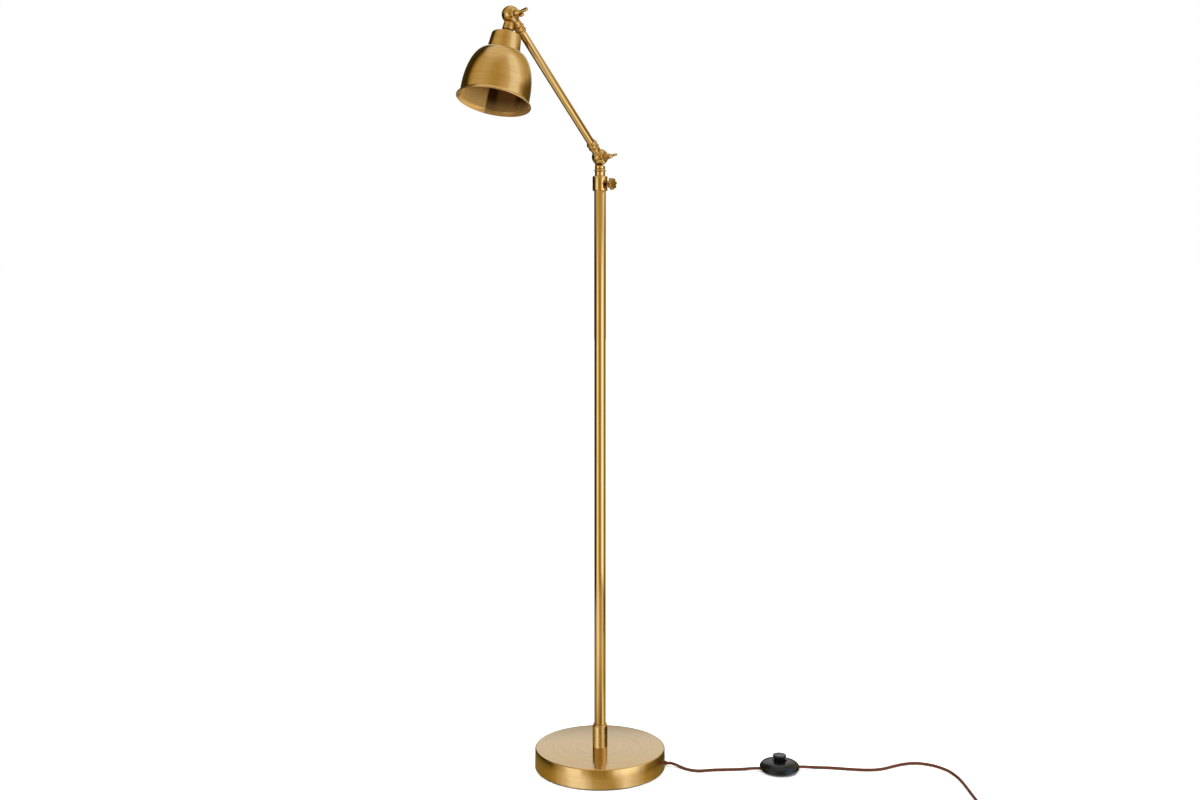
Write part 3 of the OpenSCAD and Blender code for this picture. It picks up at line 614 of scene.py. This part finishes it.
def moulded(name, colour, wear_and_shade_values, smooth, shine=0.5, tint=(1, 1, 1, 1)):
    """Moulded plastic or rubber with a fine grain and rubbed, slightly paler edges."""
    finish = Finish(name, Specular_IOR_Level=shine, Specular_Tint=tint)
    where = finish.object_place()
    fine = finish.noise(where, detail=2, scale=900)
    cloud = finish.noise(where, detail=4, scale=45)
    wear_and_shade = finish.attribute("wear_and_shade", "Fac")
    edge = finish.remap(wear_and_shade, 0.1, 0.8, 0.0, 0.5)
    tone = finish.math("MAXIMUM", finish.remap(cloud, 0.45, 0.75, 0.0, 0.25), edge)
    finish.join(finish.mix(tone, colour, wear_and_shade_values), "Base Color")
    finish.join(finish.remap(cloud, 0.3, 0.7, smooth, smooth + 0.12), "Roughness")
    finish.bump(fine, 0.12, 0.0001)
    return finish.material


def felt():
    """Dark pressed felt: matted fibres with a little fuzz."""
    finish = Finish("pressed_felt", Roughness=0.95, Sheen_Weight=0.4, Sheen_Roughness=0.5)
    where = finish.object_place()
    fibres = finish.noise(finish.scaled(where, (1.0, 1.0, 3.0)), detail=6, scale=700)
    colour = finish.mix(fibres, (0.012, 0.011, 0.010, 1), (0.045, 0.040, 0.034, 1))
    finish.join(colour, "Base Color")
    finish.bump(fibres, 0.8, 0.0004)
    return finish.material


def cast_iron():
    finish = Finish("cast_iron", Metallic=0.6, Roughness=0.7)
    where = finish.object_place()
    sand = finish.noise(where, detail=6, scale=420)
    finish.join(finish.mix(sand, (0.05, 0.05, 0.05, 1), (0.13, 0.12, 0.11, 1)), "Base Color")
    finish.bump(sand, 0.6, 0.0006)
    return finish.material


def sheath():
    """Smooth brown plastic sheath of the lead, slightly mottled."""
    finish = Finish("brown_sheath", Specular_IOR_Level=0.2)
    where = finish.object_place()
    cloud = finish.noise(where, detail=3, scale=60)
    fine = finish.noise(where, detail=2, scale=1500)
    colour = finish.mix(cloud, (0.058, 0.0135, 0.0042, 1), (0.11, 0.029, 0.0078, 1))
    finish.join(colour, "Base Color")
    finish.join(finish.remap(fine, 0.3, 0.7, 0.38, 0.52), "Roughness")
    finish.bump(fine, 0.1, 0.00008)
    return finish.material


SPUN = brass("brass_spun", "round", smooth=0.12, anisotropic=0.35, aged_part=0.3, coat=0.45,
             relief=0.1)
INSIDE_PAINTED_LIGHT = lining()
LACQUERED = brass("brass_lacquered", "round", smooth=0.12, anisotropic=0.35, aged_part=0.16,
                  coat=0.6)
# A darker, more coated copy of the lacquered brass for the base's top: painted light, so that the top looks
# different from the side.
TOP_PAINTED_LIGHT = brass("brass_top_painted_light", "round", base=(0.60, 0.42, 0.185, 1),
                      deep=(0.42, 0.26, 0.08, 1), smooth=0.12, anisotropic=0.35, aged_part=0.22,
                      coat=0.8)
TURNED = brass("brass_turned", "round", smooth=0.06, anisotropic=0.3, aged_part=0.3)
DRAWN = brass("brass_drawn", "along", smooth=0.06, anisotropic=0.15, aged_part=0.25)
CAST = brass("brass_cast", "cast", smooth=0.05, aged_part=0.6, relief=0.9)
# Near-black brass of the mast, the seat washers and the cup spacer: partly aged brass, and partly painted shade
# where the washers and the spacer sit in gaps.
DARK_AGED_AND_SHADED = brass("brass_dark", "round", base=(0.30, 0.15, 0.04, 1), deep=(0.12, 0.05, 0.012, 1))
ZINC = zinc()
BLACK = moulded("black_plastic", (0.004, 0.004, 0.004, 1), (0.014, 0.014, 0.013, 1), 0.12,
                shine=0.55, tint=(0.55, 0.70, 1, 1))
NYLON = moulded("black_nylon", (0.010, 0.010, 0.010, 1), (0.04, 0.04, 0.04, 1), 0.45)
PHENOLIC = moulded("black_phenolic", (0.014, 0.010, 0.008, 1), (0.05, 0.04, 0.03, 1), 0.35)
IVORY = moulded("ivory_block", (0.70, 0.66, 0.55, 1), (0.80, 0.77, 0.68, 1), 0.40)
FELT = felt()
IRON = cast_iron()
SHEATH = sheath()

CAD_FINISH = {
    "brass": CAST, "aged_brass": DARK_AGED_AND_SHADED, "iron": IRON, "steel": ZINC, "felt": FELT,
    "cord_sheath": SHEATH, "black_nylon": NYLON, "black_plastic": BLACK,
    "lampholder_plastic": PHENOLIC, "terminal_block": IVORY,
}


def finish_cad_nodes():
    """Gives each CAD node the procedural material of its slot."""
    for part in frame["record"]["subparts"]:
        node = frame["nodes"][part["node"]]
        node.data.materials.clear()
        node.data.materials.append(CAD_FINISH[part["material_slot"]])


finish_cad_nodes()

# ---- sizes in millimetres ----

# Ball joints: half the gap between the halves, the radii of ball, hollow and screw hole, where
# the neck starts, and how far out each half's flat seat is.
SPLIT_GAP = 0.15
BALL = 14.8
CAVITY = 9.4
PIN = 2.58
NECK_START = BALL + 0.5
FRONT_FLAT = 11.5
BACK_FLAT = 12

# Sheet brass, the holes' radius for the hollow threaded pipes, and the play round the pole.
SHEET = 1.2
PIPE_HOLE = 5.05
POLE_PLAY = 0.05

SPACER_START, CUP_START, BELL_START = 27.85, 37.5, 67.8
PADDLE_RADIUS, PADDLE_HALF = 4.2, 2
LOBES, LOBE_OUT, LOBE_RADIUS, DISC_RADIUS = 7, 7.9, 2.9, 8.1
CORD_EXIT_HEIGHT = 5.8
PORT_HEIGHT, PORT_RADIUS = 5.5, 2.7


# ---- cast joints, nuts and screws ----


def half_ball(side, stem_radius):
    """Half of a ball joint on the side of +X or -X, with its half-round stem along +Z."""
    flat = FRONT_FLAT if side > 0 else BACK_FLAT
    start = math.degrees(math.asin(SPLIT_GAP / BALL))
    end = math.degrees(math.asin(flat / BALL))
    outline = [(0, SPLIT_GAP)] + arc(0, 0, BALL, start, end, 14) + [(0, flat)]
    ball = soften(lathe_mesh(outline, 72), 0.45, 30)
    turn = ALONG_X if side > 0 else Matrix.Rotation(-math.pi / 2, 4, "Y")
    ball.transform(turn)
    ball = loose(ball)
    stem = loose(lathe_mesh([(0, CAVITY), (stem_radius, CAVITY), (stem_radius, NECK_START + 1),
                             (0, NECK_START + 1)], 64))
    reach = 2 * BALL
    low = SPLIT_GAP if side > 0 else -reach
    cutter = loose(prism_mesh([(low, -reach), (low + reach - SPLIT_GAP, -reach),
                               (low + reach - SPLIT_GAP, reach), (low, reach)], -reach, reach))
    stem = carve(stem, cutter, "INTERSECT")
    ball = carve(ball, stem, "UNION")
    ball = carve(ball, loose(lathe_mesh([(0, -CAVITY)] + arc(0, 0, CAVITY, -80, 80, 16)
                                        + [(0, CAVITY)], 48)))
    return carve(ball, rod(PIN, -reach, reach, ALONG_X))


def lead_bore(end):
    return rod(4, 5, end)


def ferrule(beads):
    """Turned ferrule of an arm joint, from the ball's neck outwards."""
    outline = [Vector((0, NECK_START)), Vector((6.6, NECK_START))]
    outline += arc(6.8, NECK_START + 1.6, 1.6, -80, 0, 5)
    for at in beads:
        outline += [Vector((8.4, at - 2.5)), Vector((8.0, at - 2.0))]
        outline += arc(8.25, at, 1.75, -78, 78, 12)
        outline += [Vector((8.0, at + 2.0)), Vector((8.4, at + 2.5))]
    outline += [Vector((8.4, 35.4)), Vector((8.1, 35.9)), Vector((7.6, 36)), Vector((0, 36))]
    part = loose(lathe_mesh(outline, 72))
    return carve(part, rod(6.95, 30, 40))


def arm_joint(beads):
    part = carve(ferrule(beads), half_ball(1, 7.8), "UNION")
    return carve(part, lead_bore(37))


def neck_joint():
    """Turned neck on top of the mast, with the back half of the lower ball."""
    end = lower_ball.z / MM - foot("mast_joint")
    outline = [Vector((0, NECK_START)), Vector((6.8, NECK_START))]
    outline += arc(7.2, NECK_START + 2, 2, -80, 0, 6)
    outline += [Vector((9.2, 21.2)), Vector((8.4, 21.8))] + arc(8.75, 24.2, 1.85, -80, 80, 12)
    outline += [Vector((8.4, 26.6)), Vector((9.2, 27.2))]
    outline += [Vector((9.2, end - 0.6)), Vector((8.7, end)), Vector((0, end))]
    part = carve(loose(lathe_mesh(outline, 72)), half_ball(-1, 8.9), "UNION")
    part = carve(part, rod(8.05, end - 13.1, end + 1))
    return carve(part, lead_bore(end))


def shade_neck():
    outline = [Vector((0, NECK_START)), Vector((6.9, NECK_START))]
    outline += arc(7.1, NECK_START + 1.3, 1.3, -80, 0, 5)
    outline += [Vector((9.4, 27.1)), Vector((9, 27.75)), Vector((0, 27.8))]
    part = carve(loose(lathe_mesh(outline, 72)), half_ball(-1, 7.8), "UNION")
    return carve(part, rod(PIPE_HOLE, NECK_START + 4, 40))


def hinge_screw():
    """Domed, slotted screw through a ball joint, along +X."""
    outline = [(0, 19.5), (2.1, 19.5), (2.5, 19.1), (2.5, -12.1), (5.5, -12.1), (5.5, -12.6)]
    outline += [(5.5 * math.cos(a), -12.96 - 1.44 * math.sin(a))
                for a in (math.radians(k) for k in range(0, 90, 12))] + [(0, -14.4)]
    mesh = lathe_mesh(outline, 48)
    mesh.transform(ALONG_X)
    part = loose(mesh)
    slot = loose(prism_mesh([(-15, -7), (-13.6, -7), (-13.6, 7), (-15, 7)], -0.55, 0.55))
    return carve(part, slot)


def seat_washer():
    outline = rounded([(PIN, 11.5, 0), (6.6, 11.5, 0.2), (6.6, 12.5, 0.3), (PIN, 12.5, 0)], 3)
    mesh = lathe_mesh(outline, 64)
    mesh.transform(ALONG_X)
    return loose(mesh)


def wing(side):
    """One paddle of a wing nut, leaning outwards, in the XY plane."""
    root, tip = Vector((15.2, 2.5)), Vector((28.4, 7))
    along = (tip - root).normalized()
    across = Vector((-along.y, along.x))
    outline = [root - across * 3, root + along * 6 - across * 2.9]
    start = math.degrees(math.atan2(-across.y, -across.x))
    outline += arc(tip.x, tip.y, PADDLE_RADIUS, start, start + 180, 16)
    outline += [root + along * 6 + across * 2.9, root + across * 3]
    if side < 0:
        outline = [Vector((p.x, -p.y)) for p in reversed(outline)]
    return loose(soften(prism_mesh(outline, -PADDLE_HALF, PADDLE_HALF), 1.3, 40, 4))


def wing_nut(lean):
    hub = lathe_mesh(rounded([(0, 12.7, 0), (6.2, 12.7, 0.4), (6.0, 15.5, 1.5), (5.0, 21, 1.2),
                              (0, 21, 0)], 5), 56)
    hub.transform(ALONG_X)
    part = loose(hub)
    for side in (1, -1):
        part = carve(part, wing(side), "UNION")
    part = carve(part, rod(PIN, 10, 20, ALONG_X))
    part.data.transform(Matrix.Rotation(math.radians(lean), 4, "X"))
    return part


def knob_radius(angle):
    """Outline of the knob: a disc with a round lobe at each seventh of a turn."""
    pitch = 2 * math.pi / LOBES
    off = (angle / pitch) % 1 * pitch - pitch / 2
    inside = LOBE_RADIUS ** 2 - (LOBE_OUT * math.sin(off)) ** 2
    lobe = LOBE_OUT * math.cos(off) + math.sqrt(inside) if inside > 0 else 0
    return max(lobe, DISC_RADIUS)


def clamp_knob():
    count = 210
    angles = [2 * math.pi * k / count for k in range(count)]
    disc = prism_mesh([(knob_radius(a) * math.cos(a), knob_radius(a) * math.sin(a))
                       for a in angles], 24, 30)
    part = loose(soften(disc, 1.3, 40, 5))
    hub = loose(lathe_mesh(rounded([(0, 18, 0), (4.4, 18, 0.4), (4.7, 21, 3), (5.8, 24.4, 0),
                                  (0, 24.4, 0)], 4), 56))
    boss = loose(lathe_mesh([(0, 29), (4.4, 29)] + arc(3.2, 30.2, 1.0, 0, 80, 5) + [(0, 31.4)], 56))
    part = carve(carve(part, hub, "UNION"), rod(3.05, 10, 23))
    boss.data.transform(Matrix.Translation((0, 0, -1.4)))
    return carve(part, boss, "UNION")


# ---- turned and spun pieces ----


def base_shell():
    radius, height = half_width("base_cover"), top("base_cover")
    low = foot("base_cover")
    inner = radius - SHEET
    outline = rounded([
        (PIPE_HOLE, height - SHEET, 0), (inner, height - SHEET, 1.2), (inner, low, 0),
        (radius, low, 0.5), (radius, height, 2.2), (PIPE_HOLE, height, 0),
    ], 8)
    part = loose(lathe_mesh(outline, 256))
    turn = Matrix.Translation((0, 0, CORD_EXIT_HEIGHT)) @ ALONG_X
    return carve(part, rod(3.45, radius - 5, radius + 5, turn))


def weight_casting():
    """Cast iron weight with a tall hub, a recess for the nut, and a channel for the lead."""
    radius, low, high = half_width("base_weight"), foot("base_weight"), top("base_weight")
    part = loose(lathe_mesh(rounded([
        (PIPE_HOLE, high, 0), (28, high, 0.8), (28, low + 18, 2), (radius, low + 18, 1.5),
        (radius, low, 0.8), (21, low, 0.6), (21, 28.6, 0.5), (PIPE_HOLE, 28.6, 0),
    ], 4), 160))
    channel = prism_mesh([(0, -6), (radius + 4, -6), (radius + 4, 6), (0, 6)], low - 2, 12)
    return carve(part, loose(channel))


def felt_disc():
    radius, high = half_width("base_pad"), top("base_pad")
    return loose(lathe_mesh(rounded([
        (0, 0, 0), (radius, 0, 0.7), (radius, high, 0.4), (0, high, 0),
    ], 4), 160))


def socket_sleeve():
    low, high, radius = foot("post_socket"), top("post_socket"), half_width("post_socket")
    outline = [Vector((PIPE_HOLE, low)), Vector((radius, low)), Vector((radius, high - 3.0))]
    outline += arc(radius + 0.1, high - 2.3, 0.6, -110, -250, 6)
    outline += arc(radius - 0.8, high - 0.8, 0.8, -10, 90, 6)
    bore = half_width("outer_tube") + POLE_PLAY
    outline += [Vector((bore, high)), Vector((bore, low + 10)), Vector((PIPE_HOLE, low + 10))]
    return loose(lathe_mesh(outline, 96))


def tube(inner, outer, start, end):
    edge = 0.25
    return loose(lathe_mesh(rounded([
        (inner, start, 0), (outer, start, edge), (outer, end, edge), (inner, end, 0),
    ], 3), 96))


def collar():
    low, high = foot("clamp_collar"), top("clamp_collar")
    radius = half_width("clamp_collar")
    bore = half_width("outer_tube") + POLE_PLAY
    part = loose(lathe_mesh(rounded([
        (8.08, low + 5.2, 0), (bore, low + 5.2, 0), (bore, low, 0.2), (radius, low, 0.9),
        (radius, high, 0.9), (8.08, high, 0.3),
    ], 5), 96))
    turn = Matrix.Translation((0, 0, knob_place.z / MM)) @ ALONG_X
    return carve(part, rod(3.08, 9, radius + 2, turn))


def spacer():
    return loose(lathe_mesh(rounded([
        (PIPE_HOLE, SPACER_START, 0), (6.2, SPACER_START, 0), (6.2, 29.3, 0.3), (9.2, 29.3, 0.4),
        (9.5, 30.4, 0.6), (10, 32.2, 2), (12, 35.5, 0.6), (13, 37.45, 0.2), (PIPE_HOLE, 37.45, 0),
    ], 4), 72))


def cup():
    outline = rounded([
        (PIPE_HOLE, CUP_START, 0), (24.5, CUP_START, 1.7), (27.5, 67.7, 0.3), (26.3, 67.7, 0.2),
        (23.3, 38.9, 1.0), (PIPE_HOLE, 38.7, 0),
    ], 7)
    return loose(lathe_mesh(outline, 128))


def bell():
    """Spun bell with a flared skirt and a rolled lip."""
    mid_at, flare_at, rim_at = 136.0, 148.0, 155.0
    hole_radius, top_radius, mid_radius, lip_radius, lip = 17.6, 28, 56.7, 61.6, 1.1
    flare_end = rim_at - lip
    fullness = 0.97

    def dome(inset):
        for k in range(37):
            a = math.radians(90 * k / 36)
            yield Vector((
                top_radius + (mid_radius - inset - top_radius) * math.sin(a) ** fullness,
                mid_at - (mid_at - BELL_START - inset) * math.cos(a),
            ))

    def skirt(inset):
        for k in range(9):
            part = k / 9
            yield Vector((
                mid_radius - inset + (lip_radius - lip - mid_radius) * part * part,
                flare_at + (flare_end - flare_at) * part,
            ))

    lip_arc = arc(lip_radius - lip, flare_end, lip, -100, 160, 14)
    outline = [Vector((hole_radius, BELL_START))] + list(dome(0)) + list(skirt(0)) + lip_arc
    outline += list(reversed(list(skirt(SHEET)))) + list(reversed(list(dome(SHEET))))
    outline.append(Vector((hole_radius, BELL_START + SHEET)))
    return loose(lathe_mesh(outline, 192))


# ---- foot switch ----


def with_cord_ports(part):
    for start, end in ((-36, -26), (26, 36)):
        turn = Matrix.Translation((0, 0, PORT_HEIGHT)) @ ALONG_X
        part = carve(part, rod(PORT_RADIUS, start, end, turn))
    return part


def switch_lower():
    outline = [Vector((0, 0)), Vector((25.4, 0))]
    outline += [Vector((25.4 + 9.6 * math.sin(a), 7.4 * (1 - math.cos(a)) - 0.1 * math.sin(a)))
                for a in (math.radians(k) for k in range(6, 91, 6))]
    outline += [Vector((33, 7.2)), Vector((25.4, 3)), Vector((22.4, 2)), Vector((0, 2))]
    return with_cord_ports(loose(lathe_mesh(outline, 128)))


def switch_upper():
    def bulge(inset, angles):
        for k in angles:
            a = math.radians(k)
            yield Vector((
                13.4 + (21.6 - inset) * math.cos(a), 7.5 + (11 - inset) * math.sin(a) ** 0.9
            ))

    outline = [Vector((35, 7.5))] + list(bulge(0, range(5, 86, 5)))
    outline += arc(13.4, 17.7, 0.8, 80, 150, 5)
    outline += [Vector((10.6, 16.6)), Vector((10.6, 15)), Vector((12.6, 15))]
    outline += list(bulge(2, range(80, -1, -8)))
    return with_cord_ports(loose(lathe_mesh(outline, 128)))


def switch_button():
    outline = rounded([
        (0, 16, 0), (7, 16, 0), (7, 13.5, 0), (11.6, 13.5, 0.3), (11.6, 14.7, 0.3),
        (8.6, 14.7, 0), (8.6, 18.5, 1.5), (10.2, 23, 6), (12, 26.6, 1.2), (12, 29, 1.6),
        (10.0, 29, 0.6), (9.2, 28.4, 0.8), (0, 28.4, 0),
    ], 5)
    return loose(lathe_mesh(outline, 96))


def line_inside(part, material):
    """Gives the faces that look towards the shade's axis a material of their own."""
    part.data.materials.append(material)
    for face in part.data.polygons:
        out = face.center - upper_ball
        out -= out.dot(shade_axis) * shade_axis
        if face.normal.dot(out) < -0.05 * out.length:
            face.material_index = 1


def line_top(part, material):
    """Gives the faces that look straight up a material of their own."""
    part.data.materials.append(material)
    for face in part.data.polygons:
        if face.normal.z > 0.98:
            face.material_index = 1


# ---- making ----

base = piece("base_shell", base_shell(), IN_ROW, LACQUERED, "stand", "brass", "base_cover")
# The base's top gets the copy of the brass with painted light.
line_top(base, TOP_PAINTED_LIGHT)
weight = piece("base_casting", weight_casting(), IN_ROW, IRON, "stand", "iron", "base_weight")
pad = piece("felt_disc", felt_disc(), IN_ROW, FELT, "stand", "felt", "base_pad")
# The polished socket above the base would otherwise mirror little but the base's top.
for part in (base, weight, pad):
    part.visible_glossy = False
piece("socket_sleeve", socket_sleeve(), IN_ROW, TURNED, "stand", "brass", "post_socket")
piece("lower_pole", tube(9.5, half_width("outer_tube"), foot("outer_tube"), top("outer_tube")),
      IN_ROW, DRAWN, "stand", "brass", "outer_tube")
piece("clamp_ring", collar(), IN_HEAD, TURNED, "stand", "brass", "clamp_collar")
piece("star_knob", clamp_knob(), IN_KNOB, CAST, "clamp", "brass", "clamp_knob")
piece("sliding_mast", tube(6.8, 8, foot("mast_tube"), top("mast_tube")),
      IN_ROW, DRAWN, "mast", "aged_brass", "mast_tube")
piece("mast_neck", neck_joint(), IN_NECK, TURNED, "mast", "brass", "mast_joint")
piece("lower_hinge_screw", hinge_screw(), IN_NECK, ZINC, "mast", "steel", "lower_screw")
piece("lower_seat", seat_washer(), IN_NECK, DARK_AGED_AND_SHADED, "arm", "aged_brass", "lower_seat_washer")
piece("lower_butterfly", wing_nut(-158), IN_NECK, CAST, "lower_nut", "brass", "lower_wing_nut")
piece("arm_foot_joint", arm_joint([24, 31.5]), IN_ARM, CAST, "arm", "brass", "arm_joint_lower")
piece("arm_rod", tube(5.9, 6.9, 30.1, arm_length - 30.1), IN_ARM, DRAWN, "arm", "brass",
      "arm_tube")
piece("arm_head_joint", arm_joint([25.5, 33.5]), IN_ARM_END, CAST, "arm", "brass",
      "arm_joint_upper")
piece("upper_seat", seat_washer(), IN_ARM_END, DARK_AGED_AND_SHADED, "arm", "aged_brass", "upper_seat_washer")
piece("shade_neck", shade_neck(), IN_SHADE, CAST, "shade", "brass", "shade_joint")
piece("upper_hinge_screw", hinge_screw(), IN_SHADE, ZINC, "shade", "steel", "upper_screw")
piece("upper_butterfly", wing_nut(-117), IN_SHADE, CAST, "upper_nut", "brass", "upper_wing_nut")
piece("cup_spacer", spacer(), IN_SHADE, DARK_AGED_AND_SHADED, "shade", "aged_brass", "neck_spacer")
piece("shade_cup", cup(), IN_SHADE, SPUN, "shade", "brass", "socket_cup")
shade_bell = piece("shade_bell", bell(), IN_SHADE, SPUN, "shade", "brass", "bell_shade")
line_inside(shade_bell, INSIDE_PAINTED_LIGHT)
piece("switch_lower_shell", switch_lower(), IN_SWITCH, BLACK, "stand", "black_plastic",
      "switch_base")
piece("switch_upper_shell", switch_upper(), IN_SWITCH, BLACK, "stand", "black_plastic",
      "switch_cover")
piece("foot_button", switch_button(), IN_SWITCH, BLACK, "button", "black_plastic", "switch_button")

short_nodes, long_nodes = ["cord_short"], ["cord_long", "cord_coil", "cord_tail"]
for lead, nodes in ((short_cord, short_nodes), (long_cord, long_nodes)):
    lead.data.materials.append(SHEATH)
    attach(lead, "stand")
    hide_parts(*nodes)
round(path_length(SHORT_ROUTE), 3)
round(path_length(long_points), 3)

# ---- floor and light ----


def make_floor():
    """Wide pale floor. Glossy rays see the room's light through it, so that polished brass
    shows the same bands of light below the horizon as above it."""
    finish = Finish("floor", Base_Color=(0.93, 0.93, 0.93, 1), Roughness=1.0)
    finish.shader.inputs["Specular IOR Level"].default_value = 0.0
    mesh = bmesh.new()
    bmesh.ops.create_grid(mesh, x_segments=2, y_segments=2, size=30)
    floor = loose(mesh, "floor")
    floor.data.materials.append(finish.material)
    floor.visible_glossy = False


# The studio that brass sees, as rounds of (azimuth from the front in degrees to the right,
# brightness), from above to below: what is high up, what the pole, its socket and the base's
# side mirror, and what is under that.
HIGH = [
    (-180, 0.92), (-168, 0.9), (-158, 0.06), (-114, 0.04), (-100, 0.42), (-86, 0.6),
    (-50, 0.66), (-30, 0.62), (-10, 0.54), (12, 0.52), (30, 0.6), (48, 0.7), (62, 1.0),
    (88, 1.1), (100, 0.8), (120, 0.6), (150, 0.5), (168, 0.9), (180, 0.92),
]
LEVEL = [
    (-180, 0.05), (-94, 0.02), (-84, 0.25), (-70, 0.6), (-54, 1.3), (-38, 1.3), (-28, 0.6),
    (-12, 0.36), (8, 0.36), (18, 0.6), (28, 1.3), (44, 1.75), (62, 1.5), (78, 0.8),
    (92, 0.35), (120, 0.15), (150, 0.1), (180, 0.05),
]
SLEEVE = [
    (-180, 0.1), (-133, 0.25), (-97, 0.37), (-71, 0.72), (-49, 1.1), (-29, 0.92), (-12, 0.34),
    (10, 0.22), (29, 0.5), (47, 0.74), (60, 0.5), (71, 0.24), (92, 0.04), (133, 0.04), (180, 0.1),
]
LOW = [
    (-180, 0.2), (-122, 0.3), (-105, 0.36), (-90, 0.47), (-77, 0.68), (-66, 0.86), (-50, 1.2),
    (-30, 1.22), (-20, 0.92), (-10, 0.64), (8, 0.56), (24, 0.54), (34, 0.74), (46, 1.0),
    (66, 0.78), (77, 0.62), (90, 0.45), (120, 0.3), (150, 0.22), (180, 0.2),
]
UNDER = [
    (-180, 0.1), (-150, 0.02), (-84, 0.03), (-66, 0.5), (-44, 0.6), (-34, 0.42), (10, 0.3),
    (18, 0.05), (36, 0.05), (46, 1.3), (70, 1.3), (120, 1.1), (160, 0.6), (180, 0.2),
]
# How the level round gives way to another, or to one even brightness: between which two values
# of the height of the ray's direction, from 1 straight up to -1 straight down.
ROUNDS = [
    (-0.3, -0.316, SLEEVE), (-0.33, -0.337, LOW), (0.14, 0.3, HIGH), (-0.42, -0.55, UNDER),
    (0.8, 0.95, 0.8), (-0.76, -0.86, 0.95), (-0.88, -0.94, 0.6),
]
BRIGHTEST = 1.75
FILL = 2.0
WHITE = (1, 1, 1, 1)
WARM_BELOW, DIMMEST = 1.0, 0.45
GREEN_LOSS, BLUE_LOSS = 0.5, 1.48


def tinted(level):
    """Colour of a band of light: white where it is bright, and warm where it is dim."""
    dim = max(WARM_BELOW - max(level, DIMMEST), 0)
    colour = (1, 1 - GREEN_LOSS * dim, 1 - BLUE_LOSS * dim)
    return tuple(level * part / BRIGHTEST for part in colour) + (1,)


def make_world():
    """White to the camera and to matt surfaces, and a studio of soft boxes, dark flags and a
    white wall behind the lamp to glossy ones."""
    world = bpy.data.worlds.new("studio")
    bpy.context.scene.world = world
    world.use_nodes = True
    tree = world.node_tree
    tree.nodes.clear()

    def node(kind, inputs=(), **settings):
        return add_node(tree, kind, inputs, **settings)

    def calculate(operation, a, b=0.0, c=0.0):
        return node("ShaderNodeMath", {0: a, 1: b, 2: c}, operation=operation).outputs[0]

    def step(value, low, high):
        return node("ShaderNodeMapRange", {"Value": value, 1: low, 2: high, 3: 0.0, 4: 1.0},
                    interpolation_type="SMOOTHSTEP").outputs["Result"]

    def mix(part, first, second):
        return node("ShaderNodeMix", {0: part, 6: first, 7: second}, data_type="RGBA").outputs[2]

    def round_of(stops):
        ramp = node("ShaderNodeValToRGB", {0: turn})
        ramp.color_ramp.interpolation = "EASE"
        elements = ramp.color_ramp.elements
        for k, (angle, value) in enumerate(stops):
            spot = (angle + 180) / 360
            stop = elements[k] if k < 2 else elements.new(spot)
            stop.position = spot
            stop.color = tinted(value)
        return ramp.outputs[0]

    direction = node("ShaderNodeTexCoord").outputs["Generated"]
    parts = node("ShaderNodeSeparateXYZ", {0: direction}).outputs
    towards = calculate("MULTIPLY", parts["Y"], -1)
    azimuth = calculate("ARCTAN2", parts["X"], towards)
    turn = calculate("MULTIPLY_ADD", azimuth, 1 / (2 * math.pi), 0.5)
    bands = round_of(LEVEL)
    for start, full, light in ROUNDS:
        light = round_of(light) if isinstance(light, list) else tinted(light)
        bands = mix(step(parts["Z"], start, full), bands, light)
    path = node("ShaderNodeLightPath").outputs
    # A ray of any other kind finds black.
    shader = node("ShaderNodeBackground", {"Strength": 0.0}).outputs[0]
    for flag, colour, strength in (
        ("Is Diffuse Ray", WHITE, FILL), ("Is Glossy Ray", bands, BRIGHTEST),
        ("Is Camera Ray", WHITE, 1.0),
    ):
        back = node("ShaderNodeBackground", {"Color": colour, "Strength": strength}).outputs[0]
        shader = node("ShaderNodeMixShader", {0: path[flag], 1: shader, 2: back}).outputs[0]
    out = node("ShaderNodeOutputWorld")
    tree.links.new(shader, out.inputs["Surface"])


make_floor()
make_world()
bpy.context.scene.view_settings.view_transform = "Standard"
